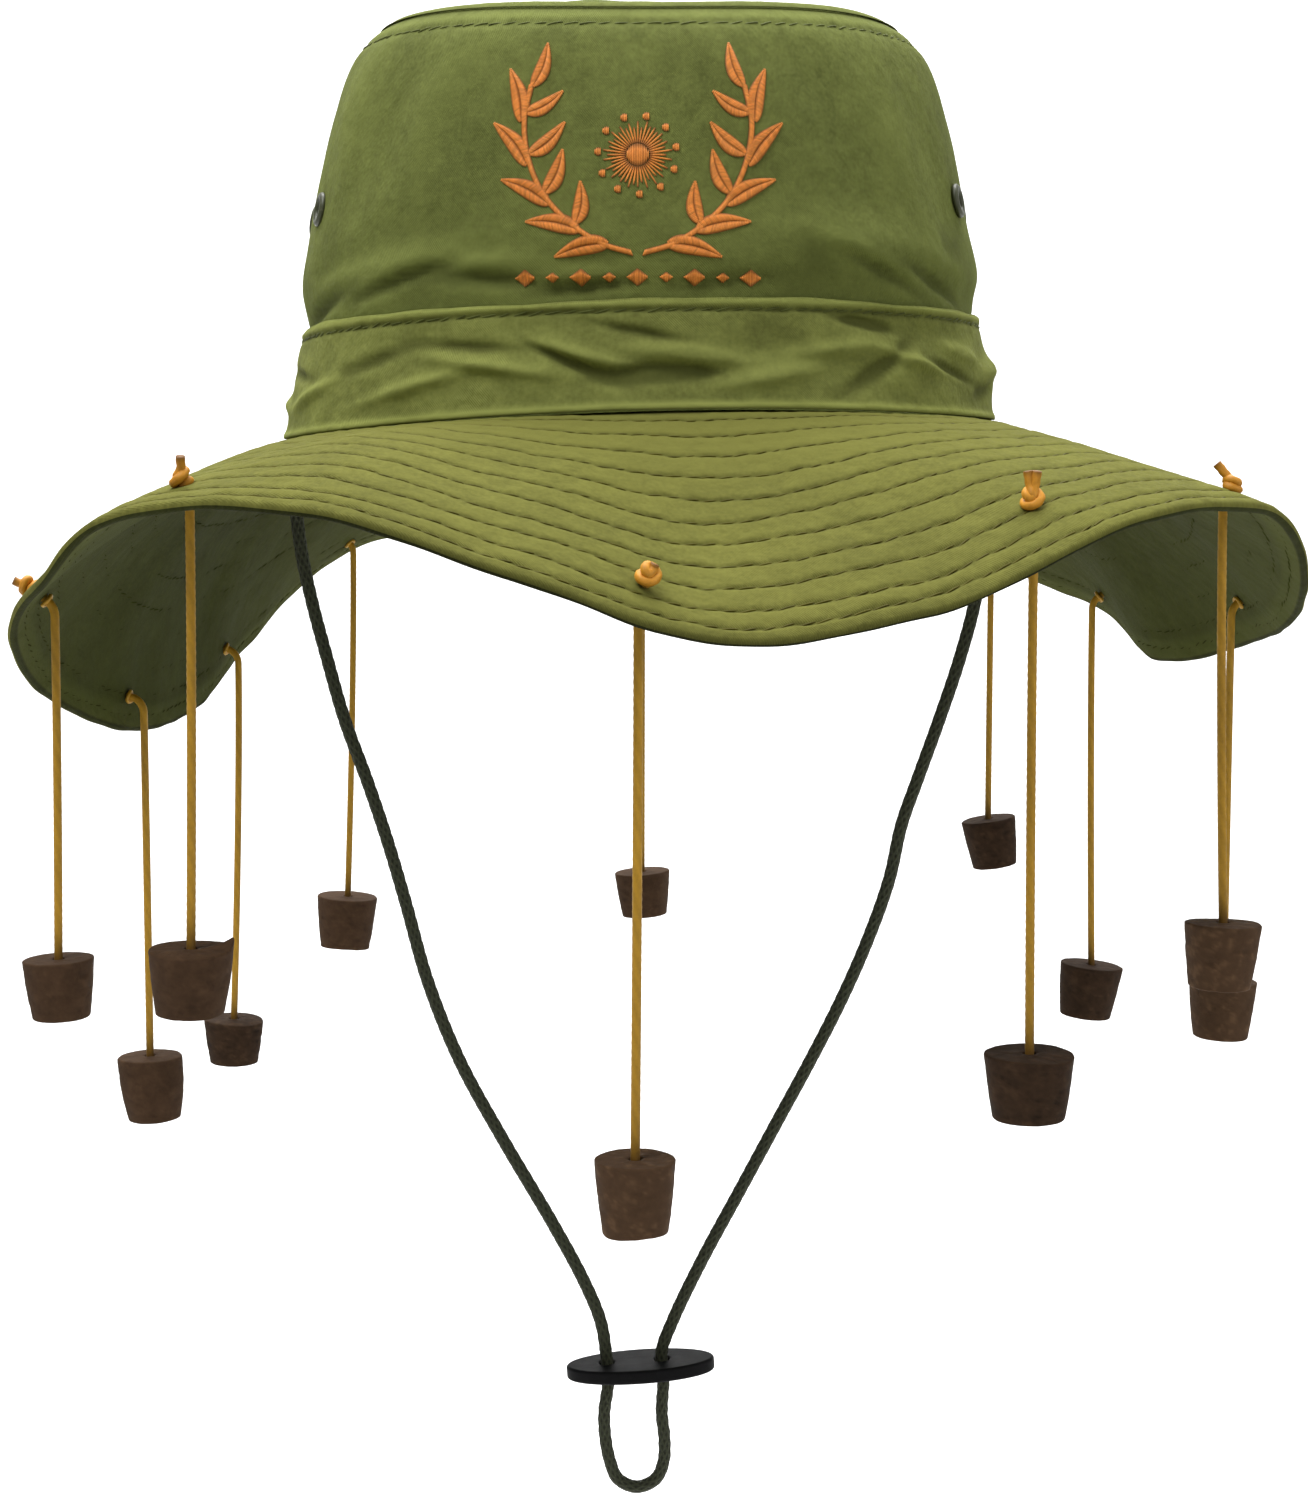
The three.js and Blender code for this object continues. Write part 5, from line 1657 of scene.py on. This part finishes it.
# Where the brim's faces end and its rolled edge starts, and the turns of that edge
ROLL_START = 0.985
BRIM_ROLL = (68, 45, 22, 0, -22, -45, -68)

# Form of one row of stitches, whose depths are shares of the groove's
ROW_SEAMS = [
    SeamRow(0, 0.62 * MM, -1, 0.45),
    SeamRow(2.2 * MM, 1.6 * MM, 0.36, 0.8),
    SeamRow(-2.2 * MM, 1.6 * MM, 0.36, 0.8),
]

# The lowest part of the brim's front, where its edge gets the most painted shade
EDGE_SHADE_AZIMUTH = 6

# Soft creases of the brim, in the terms of the crown's folds: rise is a share of its width
BRIM_CREASES = [Fold(*row) for row in (
    (-24, 0.5, 10, 0.32, 0, 0.7), (4, 0.55, 12, 0.32, 0, -0.75), (30, 0.5, 10, 0.32, 0, 0.5),
    (-20, 0.75, 7, 0.22, 0.01, 0.3), (12, 0.85, 6, 0.2, -0.01, 0.25),
    (44, 0.6, 6, 0.3, 0.012, -0.3), (62, 0.7, 5, 0.3, 0.015, 0.45),
    (74, 0.75, 4, 0.35, 0.01, -0.45), (-70, 0.7, 5, 0.35, -0.01, 0.45),
    (-84, 0.65, 4, 0.4, 0.008, -0.4), (-52, 0.55, 5, 0.3, -0.015, -0.3),
    (100, 0.6, 5, 0.35, 0.01, 0.4), (140, 0.7, 8, 0.3, -0.01, -0.4),
    (-110, 0.6, 5, 0.35, 0.01, 0.35), (-150, 0.7, 8, 0.3, 0.01, -0.4),
)]


def row_wander(azimuth, number):
    """How far a row of stitches strays from its line, as a share of the brim's width."""
    return waves(azimuth, number, [
        (9, 1.3, 0.7, 0.0034), (17, 2.1, 1.9, 0.0026), (31, 0.7, 3.0, 0.0018),
        (59, 1.9, 0.2, 0.0018), (113, 2.7, 1.1, 0.0015), (149, 0.6, 2.4, 0.0012),
    ])


def brim_ripple(azimuth, share):
    """Small waves that both faces of the brim share."""
    ripple = folds_at(BRIM_CREASES, azimuth, share) * np.clip(share / 0.2, 0, 1)
    return ripple + np.clip(share / 0.3, 0, 1) * waves(azimuth, share, [
        (14, 4, 0.4, 0.24 * MM), (21, -7, 2.0, 0.18 * MM), (33, 10, 1.1, 0.12 * MM),
        (47, -12, 4.5, 0.07 * MM),
    ])


def row_relief(azimuth, share, strength):
    """Grooves that the rows of stitches pull into a face, with a pucker at each stitch."""
    form = sizes()
    relief = 0
    for number, row in enumerate(BRIM_STITCH_ROWS):
        distance = (share - row - row_wander(azimuth, number)) * form.brim_width
        pucker = waves(azimuth, number, [(110, 2.3, 0.4, 0.5), (73, 1.1, 1.0, 0.4)])
        relief = relief + strength * seams_at(ROW_SEAMS, distance, pucker)
    return relief


def brim_surface(azimuth, share, depth):
    """Points of the brim with its small waves."""
    return brim_place(azimuth, share, depth - brim_ripple(azimuth, share))


def brim_shares():
    """Shares of the brim's width at which its mesh has rows, close together at the stitches."""
    width = sizes().brim_width
    shares = {0.0, 0.02}
    ends = [0.0, *BRIM_STITCH_ROWS, ROLL_START]
    for row in BRIM_STITCH_ROWS:
        shares.update(row + reach / width for reach in ROW_REACH)
    for low, high in zip(ends, ends[1:]):
        shares.update(low + (high - low) * part for part in (0.35, 0.5, 0.65))
    return np.array(sorted(share for share in shares if share < ROLL_START))


def brim_painted_shade_and_light(azimuth, upper_shares, lower_shares, seam, roll_turns):
    """Painted shade and painted light on the brim's cloth: its upper face, rolled edge and lower
    face."""
    random = np.random.default_rng(31)
    upper_relief = row_relief(azimuth, upper_shares, 1)
    patchy = random.uniform(0.15, 0.95, upper_shares.shape)
    front_shade_mask = np.clip((np.cos(np.radians(azimuth - EDGE_SHADE_AZIMUTH)) - 0.82) / 0.14, 0, 1)
    # Painted shade in the stitch grooves, in the seam at the band and along the front edge; the
    # rolled edge is shaded on its lower half, most at the front, and the lower face in its grooves
    upper_painted_shade = np.clip(-upper_relief * patchy, 0, 1) + 0.9 * seam
    upper_painted_shade = upper_painted_shade + 0.3 * front_shade_mask * np.clip((upper_shares - 0.968) / 0.012, 0, 1)
    roll_painted_shade = np.clip(0.1 + 0.9 * front_shade_mask - (0.5 + 0.4 * front_shade_mask) * np.sin(roll_turns), 0, 1)
    lower_painted_shade = np.clip(-row_relief(azimuth, lower_shares, 1) * 0.14, 0, 0.6)
    # Painted highlight on the puffs between rows, and painted light over the brim's inner part and
    # towards the lower face's edge
    upper_painted_light = np.clip(upper_relief * 0.9, 0, 0.5)
    upper_painted_light = upper_painted_light + 0.7 * np.clip((0.45 - upper_shares) / 0.3, 0, 1)
    lower_painted_light = 0.45 * np.clip((lower_shares - 0.4) / 0.5, 0, 1)
    lower_painted_light = lower_painted_light + 0.5 * np.clip((lower_shares - 0.92) / 0.03, 0, 1)
    blank = np.zeros((BRIM_COLUMNS + 1, 1))
    painted_shade_and_dirt = np.concatenate([blank, upper_painted_shade, roll_painted_shade, lower_painted_shade[:, ::-1], blank], axis=1)
    painted_light_and_wear = np.concatenate([blank, upper_painted_light, 0 * roll_painted_shade, lower_painted_light[:, ::-1], blank], axis=1)
    return {"painted_shade_and_dirt": painted_shade_and_dirt[:-1], "painted_light_and_wear": painted_light_and_wear[:-1]}


def brim_body():
    """The brim: a level strip under the crown's wall, the stitched slope and a rolled edge."""
    form = sizes()
    azimuth = np.linspace(-180, 180, BRIM_COLUMNS + 1)[:, None]
    upper_shares = brim_shares()[None, :]
    number = np.interp(upper_shares, BRIM_STITCH_ROWS, np.arange(len(BRIM_STITCH_ROWS)))
    upper_shares = upper_shares + row_wander(azimuth, number) * np.clip(upper_shares / 0.03, 0, 1)
    lower_shares = stepped((0, 0.9, 34), (0.9, ROLL_START, 6)) + 0 * azimuth
    groove = sewing().groove
    gape = 1 + 0.8 * waves(azimuth, azimuth * 0, [(5, 0, 1.4, 0.5), (11, 0, 1.5, 0.5)])
    seam = furrow(upper_shares * form.brim_width, 1.1 * MM * gape)
    upper_depth = 0.6 * MM * seam - row_relief(azimuth, upper_shares, groove)
    lower_depth = form.brim_wall + 0.7 * row_relief(azimuth, lower_shares, groove * 0.8)
    upper = brim_surface(azimuth, upper_shares, upper_depth)
    lower = brim_surface(azimuth, lower_shares, lower_depth)

    # Rolled edge: half a turn round a middle line, fuller than the cloth behind it
    half = form.brim_wall / 2
    roll_turns = np.radians(BRIM_ROLL)[None, :]
    swell = 1 + 0.1 * waves(azimuth, azimuth * 0, [(41, 0, 0.4, 0.6), (67, 0, 1.9, 0.5)])
    roll_shares = 1 + half / form.brim_width * (1.15 * swell * np.cos(roll_turns) - 1)
    roll_depth = half - half * 1.08 * np.sin(roll_turns) * swell
    roll = brim_surface(azimuth, roll_shares, roll_depth)

    lip_top = oval_place(azimuth, form.head_half_width, form.head_half_depth,
                         base_level(azimuth) - CLEARANCE)
    lip_foot = lip_top - (0, 0, form.brim_wall)
    sections = np.concatenate([lip_top, upper, roll, lower[:, ::-1], lip_foot], axis=1)

    shares = np.concatenate([
        0 * azimuth, upper_shares, roll_shares, lower_shares[:, ::-1], 0 * azimuth,
    ], axis=1)
    reach = form.head_half_depth + shares * form.brim_width
    maps = outward(np.broadcast_to(azimuth, shares.shape))[..., :2] * reach[..., None]

    # The upper cloth goes half way round the roll
    upper_rows = 1 + upper_shares.shape[1] + len(BRIM_ROLL) // 2
    row_finish = [0] * upper_rows + [1] * (sections.shape[1] - upper_rows)
    values = brim_painted_shade_and_light(azimuth, upper_shares, lower_shares, seam, roll_turns)
    made = ring_body("brim_body", sections[:-1], maps, [finishes["brim"], finishes["shaded_underside"]],
                     row_finish, values)
    return finished(made, "brim_cloth", "brim")


# Sewing


# Degrees between the points of a row, and how its stitches rise and slant
ROW_STEP = 0.5
STITCH_LIFT = 0.12 * MM
STITCH_SLANT = 12


def surface_facing(place, azimuth, other, step):
    """The way that a surface looks, from points close by."""
    along = place(azimuth + 1, other, 0) - place(azimuth - 1, other, 0)
    across = place(azimuth, other + step, 0) - place(azimuth, other - step, 0)
    facing = np.cross(along, across)
    return facing / np.linalg.norm(facing, axis=-1, keepdims=True)


def stitch_rows():
    """Every row of stitches: the brim's two faces, the band's top and both sides of the tip."""
    form, thread = sizes(), sewing()
    azimuth = np.arange(0, 360, ROW_STEP)
    upper, lower = [], []
    for number, row in enumerate(BRIM_STITCH_ROWS):
        share = row + row_wander(azimuth, number)
        facing = surface_facing(brim_surface, azimuth, share, -0.01)
        depth = thread.groove - STITCH_LIFT
        upper.append((brim_surface(azimuth, share, depth), facing))
        lower.append((brim_surface(azimuth, share, form.brim_wall - 0.7 * depth), -facing))

    rise = (form.band_height - BAND_STITCH_DROP) / form.crown_height
    facing = surface_facing(band_surface, azimuth, rise, 0.01)
    band = (band_surface(azimuth, rise, 0.1 * MM), facing)
    rise = 1 - SEAM_STITCH_DROP / form.crown_height
    facing = surface_facing(crown_surface, azimuth, rise, 0.004)
    side = (crown_surface(azimuth, rise, 0.08 * MM), facing)
    up = np.broadcast_to((0, 0, 1), (len(azimuth), 3))
    tip = (tip_rim(azimuth, SEAM_STITCH_DROP) - up * TIP_ROW_SINK, up)

    tree = stitch_tree()
    values = {"Pitch": thread.stitch_pitch, "Length": thread.stitch_length,
              "Lift": STITCH_LIFT, "Slant": math.radians(STITCH_SLANT)}
    for name, lines, slot, stoutness, seed, finish in (
        ("brim_stitches_upper", upper, "brim_cloth", 1, 3, "stitch"),
        ("brim_stitches_lower", lower, "brim_cloth", 0.7, 4, "shaded_under_stitch"),
        ("crown_stitches", [band, side, tip], "crown_cloth", 0.8, 5, "crown_stitch"),
    ):
        values.update(Thread=thread.thread * stoutness, Seed=seed, Finish=finishes[finish])
        finished(grown(name, lines, tree, values, closed=True), slot)


# Motif: two leafy sprigs round a small blossom, over a row of lozenges. Places are millimetres
# to the side and above the head opening

LeafRow = namedtuple("LeafRow", "x z angle length width")
SPRIG_LEAVES = [LeafRow(*row) for row in (
    (6.5, 37, -13, 13, 4.2), (13, 40, 10, 13, 4.2), (14, 41.5, 96, 10, 3.6),
    (20, 46, 28, 13, 4.2), (21, 48.5, 112, 11, 3.8), (25, 55, 52, 13, 4.2),
    (24.5, 57.5, 138, 11, 3.8), (26.5, 65, 78, 13, 4), (25.5, 67, 150, 10, 3.4),
    (24, 73, 108, 11, 3.4),
)]
SPRIG_STEM = [(1.5, 35.0), (8, 37.0), (15, 41.5), (21, 48.0), (24.6, 56), (25.8, 65), (24.2, 73.5)]
BLOSSOM_PLACE = (0, 57)
BLOSSOM_RAYS = 44
BLOSSOM_BUDS = 11
BLOSSOM_DISC = 2.5
BUD_DISC = 0.85
BUD_RING = 8.9
LOZENGE_COUNT = 9
LOZENGE_SPACING = 6.4
LOZENGE_LEVEL = 29.6

# Spacing of satin stitches as a share of their thread
SATIN_SPACING = 0.86


def satin_pitch(spacing=SATIN_SPACING):
    """From one satin stitch to the next, in millimetres."""
    return sewing().motif_thread / MM * spacing


def motif_point(x, z, lift):
    """A point over the crown's front from a place in the motif, both in millimetres."""
    form = sizes()
    level = np.asarray(z, float) * MM
    side = np.asarray(x, float) * MM
    rise = level / form.crown_height
    half = form.head_half_width * crown_share(rise) + form.crown_wall
    azimuth = np.degrees(np.arcsin(side / half))
    low = base_level(azimuth)
    rise = (level - low) / (seam_level(azimuth) - low)
    return crown_surface(azimuth, rise, lift)


def laid_thread(start, end, pad):
    """One satin stitch from point to point of the motif, raised in its middle."""
    shares = np.linspace(0, 1, 5)
    x = start[0] + (end[0] - start[0]) * shares
    z = start[1] + (end[1] - start[1]) * shares
    lift = sewing().motif_thread * 0.2 + pad * np.sqrt(np.clip(4 * shares * (1 - shares), 0, 1))
    points = motif_point(x, z, lift)
    return points, np.zeros_like(points) + (0, -1, 0)


def leaf_threads(leaf, mirror):
    """Satin stitches of one leaf, slanting from its rim to its midrib on both sides."""
    turn = math.radians(leaf.angle)
    ahead = np.array([math.cos(turn), math.sin(turn)])
    aside = np.array([-ahead[1], ahead[0]])
    threads = []
    steps = int(leaf.length / satin_pitch())
    for step in range(1, steps):
        share = step / steps
        half = leaf.width / 2 * math.sin(math.pi * share**0.8) ** 0.8
        rib = np.array([leaf.x, leaf.z]) + ahead * leaf.length * share
        rib = rib + aside * 0.9 * math.sin(math.pi * share)
        for side in (-1, 1):
            rim = rib + aside * side * half - ahead * half * 0.5
            start, end = rib * (mirror, 1), rim * (mirror, 1)
            threads.append(laid_thread(start, end, sewing().motif_pad * half / 2.2))
    return threads


def stem_threads(mirror):
    """Short slanting stitches over the stem."""
    knots = np.array([(x, 0, z) for x, z in SPRIG_STEM])
    path = spaced_path(curved_path(knots, 8), satin_pitch(0.9))
    threads = []
    for point, way in zip(path, travelling_frames(path)[0]):
        half = np.array([way[0] * 0.45 - way[2] * 0.55, way[2] * 0.45 + way[0] * 0.55])
        middle = np.array([point[0], point[2]])
        threads.append(laid_thread((middle - half) * (mirror, 1), (middle + half) * (mirror, 1),
                                   sewing().motif_pad * 0.6))
    return threads


def satin_disc(middle, radius, offsets, pad):
    """Upright satin stitches side by side over a disc."""
    threads = []
    for offset in offsets:
        half = math.sqrt(max(0, radius**2 - offset**2))
        threads.append(laid_thread(middle + (offset, -half), middle + (offset, half), pad))
    return threads


def blossom_threads():
    """A fan of straight rays round a satin disc, and a ring of small buds round them."""
    random = np.random.default_rng(12)
    middle = np.array(BLOSSOM_PLACE, float)
    threads = []
    for ray in range(BLOSSOM_RAYS):
        turn = 2 * math.pi * ray / BLOSSOM_RAYS
        way = np.array([math.cos(turn), math.sin(turn)])
        reach = 6.6 + 0.9 * (ray % 2) + random.uniform(-0.4, 0.4)
        threads.append(laid_thread(middle + way * 2.7, middle + way * reach, 0.1 * MM))
    pad = sewing().motif_pad
    threads += satin_disc(middle, BLOSSOM_DISC, np.linspace(-2.3, 2.3, 13), pad)
    for bud in range(BLOSSOM_BUDS):
        turn = 2 * math.pi * bud / BLOSSOM_BUDS + 0.2
        place = middle + np.array([math.cos(turn), math.sin(turn)]) * BUD_RING
        offsets = np.arange(-0.7, 0.71, satin_pitch())
        threads += satin_disc(place, BUD_DISC, offsets, pad * 0.6)
    return threads


def lozenge_threads():
    """A straight row of small satin lozenges, large and small by turns."""
    pad = sewing().motif_pad * 0.7
    threads = []
    for number in range(LOZENGE_COUNT):
        middle = (number - (LOZENGE_COUNT - 1) / 2) * LOZENGE_SPACING
        half_wide, half_tall = (2.3, 1.9) if number % 2 == 0 else (1.3, 1.1)
        for offset in np.arange(-half_wide, half_wide + 0.01, satin_pitch()):
            half = half_tall * (1 - abs(offset) / half_wide) + 0.05
            threads.append(laid_thread((middle + offset, LOZENGE_LEVEL - half),
                                       (middle + offset, LOZENGE_LEVEL + half), pad))
    return threads


def crown_motif():
    """The embroidery on the crown's front."""
    threads = blossom_threads() + lozenge_threads()
    for mirror in (-1, 1):
        threads += stem_threads(mirror)
        for leaf in SPRIG_LEAVES:
            threads += leaf_threads(leaf, mirror)
    made = grown("crown_motif", threads, thread_tree(),
                 {"Thread": sewing().motif_thread, "Finish": finishes["motif"]})
    return finished(made, "crown_cloth")


# Camera, lights and stage


def place_camera():
    """The camera, as the photograph was taken."""
    camera = bpy.data.cameras.new("camera")
    camera.lens = CAMERA_LENS
    camera.sensor_width = CAMERA_SENSOR
    camera.clip_start = 0.01
    camera.clip_end = 50
    made = placed("camera", camera)
    made.location = CAMERA_PLACE
    made.rotation_euler = (math.radians(90 - CAMERA_DOWN), 0, 0)
    bpy.context.scene.camera = made


# The stage: a floor well below the hanging slide that curves up into a backdrop, and its lights
FLOOR_LEVEL = -0.8
FLOOR_FRONT = -5
CURVE_START = 2.2
CURVE_RADIUS = 1.2
BACKDROP_TOP = 5
STAGE_HALF = 5
WORLD_STRENGTH = 0.34

LightRow = namedtuple("LightRow", "name place target size power")
LIGHTS = [
    LightRow("key_light", (-0.75, -0.85, 1.8), (0, 0, 0), 0.8, 33),
    LightRow("side_light", (1.6, -0.9, 0.5), (0, 0, 0), 0.8, 7),
    LightRow("backdrop_light", (0, 1.2, 2.4), (0, 3.2, -0.2), 2.4, 120),
    LightRow("floor_light", (0, 1.0, 1.6), (0, 2.0, FLOOR_LEVEL), 2, 50),
]


def soft_light(row):
    """A square studio light that looks at a point."""
    light = bpy.data.lights.new(row.name, "AREA")
    light.shape = "SQUARE"
    light.size = row.size
    light.energy = row.power
    made = placed(row.name, light)
    made.location = row.place
    facing = Vector(row.target) - Vector(row.place)
    made.rotation_euler = facing.to_track_quat("-Z", "Y").to_euler()


def make_stage():
    """A pale floor that curves up into a backdrop, a pale world and soft lights."""
    finish = Finish("stage_paper")
    grain = finish.noise(finish.object_place(), 40, 3)
    paper = finish.blend(grain, (0.86, 0.86, 0.86), (0.89, 0.89, 0.89))
    normal = finish.bump(grain, 0.02, 1 * MM)
    material = finish.shader(paper, 0.95, normal, Specular_IOR_Level=0.1)
    profile = [(FLOOR_FRONT, 0), (CURVE_START, 0)]
    for angle in np.radians(np.arange(10, 91, 10)):
        profile.append((CURVE_START + CURVE_RADIUS * math.sin(angle),
                        CURVE_RADIUS * (1 - math.cos(angle))))
    profile.append((CURVE_START + CURVE_RADIUS, BACKDROP_TOP))
    points = [(side * STAGE_HALF, y, FLOOR_LEVEL + z) for y, z in profile for side in (-1, 1)]
    faces = [(2 * i, 2 * i + 1, 2 * i + 3, 2 * i + 2) for i in range(len(profile) - 1)]
    floor = new_mesh("stage_floor", points, faces, [material])

    world = bpy.data.worlds.new("studio")
    world.use_nodes = True
    background = world.node_tree.nodes["Background"]
    background.inputs["Color"].default_value = (1, 1, 1, 1)
    background.inputs["Strength"].default_value = WORLD_STRENGTH
    bpy.context.scene.world = world
    for row in LIGHTS:
        soft_light(row)
    bpy.context.scene.view_settings.view_transform = "Standard"


def prepare_finishes():
    """Makes the finishes, unless an earlier step has."""
    if not finishes:
        finishes.update(make_finishes())


class CORKHAT_OT_camera(bpy.types.Operator):
    """Places the camera at the photograph's viewing angle"""

    bl_idname = "corkhat.camera"
    bl_label = "Camera"
    bl_options = {"REGISTER", "UNDO"}

    def execute(self, context):
        prepare_finishes()
        place_camera()
        return {"FINISHED"}


class CORKHAT_OT_hanging_corks(bpy.types.Operator):
    """Makes the twelve cords that hang from the brim, with their knots and corks"""

    bl_idname = "corkhat.hanging_corks"
    bl_label = "Hanging corks"
    bl_options = {"REGISTER", "UNDO"}

    def execute(self, context):
        prepare_finishes()
        for number, row in enumerate(CORK_ROWS):
            cord, path = hanging_cord(row)
            finished(cord, "amber_cord", "cord_" + row.name)
            knot = finished(tied_knot(row), "amber_cord", "knot_" + row.name)
            cork = finished(worn_cork(row, number), "cork", "cork_" + row.name)
        return {"FINISHED"}


class CORKHAT_OT_chin_cord(bpy.types.Operator):
    """Makes the chin cord and the slide on it"""

    bl_idname = "corkhat.chin_cord"
    bl_label = "Chin cord"
    bl_options = {"REGISTER", "UNDO"}

    def execute(self, context):
        prepare_finishes()
        cord, path = chin_cord()
        finished(cord, "chin_braid", "chin_cord")
        slide = finished(slide_plate(), "slide_plastic", "toggle")
        return {"FINISHED"}


class CORKHAT_OT_brim(bpy.types.Operator):
    """Makes the brim"""

    bl_idname = "corkhat.brim"
    bl_label = "Brim"
    bl_options = {"REGISTER", "UNDO"}

    def execute(self, context):
        prepare_finishes()
        brim_body()
        return {"FINISHED"}


class CORKHAT_OT_crown(bpy.types.Operator):
    """Makes the crown's wall, its tip and its band"""

    bl_idname = "corkhat.crown"
    bl_label = "Crown"
    bl_options = {"REGISTER", "UNDO"}

    def execute(self, context):
        prepare_finishes()
        crown_wall()
        crown_tip_panel()
        crown_band_wrap()
        return {"FINISHED"}


class CORKHAT_OT_eyelets(bpy.types.Operator):
    """Makes the rings of the four vents"""

    bl_idname = "corkhat.eyelets"
    bl_label = "Vent rings"
    bl_options = {"REGISTER", "UNDO"}

    def execute(self, context):
        prepare_finishes()
        for name, place, direction in eyelet_places():
            eyelet_ring(name, place, direction)
        return {"FINISHED"}


class CORKHAT_OT_stitches(bpy.types.Operator):
    """Sews the rows of stitches on the brim, the band and the crown"""

    bl_idname = "corkhat.stitches"
    bl_label = "Stitches"
    bl_options = {"REGISTER", "UNDO"}

    def execute(self, context):
        prepare_finishes()
        stitch_rows()
        return {"FINISHED"}


class CORKHAT_OT_motif(bpy.types.Operator):
    """Embroiders the sprigs, the blossom and the lozenges on the crown's front"""

    bl_idname = "corkhat.motif"
    bl_label = "Motif"
    bl_options = {"REGISTER", "UNDO"}

    def execute(self, context):
        prepare_finishes()
        crown_motif()
        return {"FINISHED"}


class CORKHAT_OT_stage(bpy.types.Operator):
    """Makes the pale floor, the backdrop and the soft lights"""

    bl_idname = "corkhat.stage"
    bl_label = "Stage"
    bl_options = {"REGISTER", "UNDO"}

    def execute(self, context):
        prepare_finishes()
        make_stage()
        return {"FINISHED"}


STEPS = (
    CORKHAT_OT_camera,
    CORKHAT_OT_hanging_corks,
    CORKHAT_OT_chin_cord,
    CORKHAT_OT_brim,
    CORKHAT_OT_crown,
    CORKHAT_OT_eyelets,
    CORKHAT_OT_stitches,
    CORKHAT_OT_motif,
    CORKHAT_OT_stage,
)


class CORKHAT_PT_panel(bpy.types.Panel):
    """Lists the hat's steps, sizes and colours in the sidebar"""

    bl_idname = "CORKHAT_PT_panel"
    bl_label = "Cork hat"
    bl_space_type = "VIEW_3D"
    bl_region_type = "UI"
    bl_category = "Cork hat"

    def draw(self, context):
        """Draws the steps, then the sizes and the colours."""
        for step in STEPS:
            self.layout.operator(step.bl_idname)
        for group in (context.scene.cork_hat_sizes, context.scene.cork_hat_sewing,
                      context.scene.cork_hat_colours):
            box = self.layout.box()
            for name in group.bl_rna.properties.keys():
                if name not in ("rna_type", "name"):
                    box.prop(group, name)


GROUPS = (CorkHatSizes, CorkHatSewing, CorkHatColours)


def register():
    """Registers the classes and the scene's properties."""
    for kind in (*GROUPS, *STEPS, CORKHAT_PT_panel):
        bpy.utils.register_class(kind)
    bpy.types.Scene.cork_hat_sizes = bpy.props.PointerProperty(type=CorkHatSizes)
    bpy.types.Scene.cork_hat_sewing = bpy.props.PointerProperty(type=CorkHatSewing)
    bpy.types.Scene.cork_hat_colours = bpy.props.PointerProperty(type=CorkHatColours)


def unregister():
    """Removes the classes and the scene's properties."""
    del bpy.types.Scene.cork_hat_colours
    del bpy.types.Scene.cork_hat_sewing
    del bpy.types.Scene.cork_hat_sizes
    for kind in (CORKHAT_PT_panel, *reversed(STEPS), *reversed(GROUPS)):
        bpy.utils.unregister_class(kind)


def main():
    """Makes the whole hat and its stage."""
    register()
    bpy.ops.corkhat.camera()
    bpy.ops.corkhat.hanging_corks()
    bpy.ops.corkhat.chin_cord()
    bpy.ops.corkhat.brim()
    bpy.ops.corkhat.crown()
    bpy.ops.corkhat.eyelets()
    bpy.ops.corkhat.stitches()
    bpy.ops.corkhat.motif()
    bpy.ops.corkhat.stage()
    bpy.context.view_layer.update()


if __name__ == "__main__":
    main()
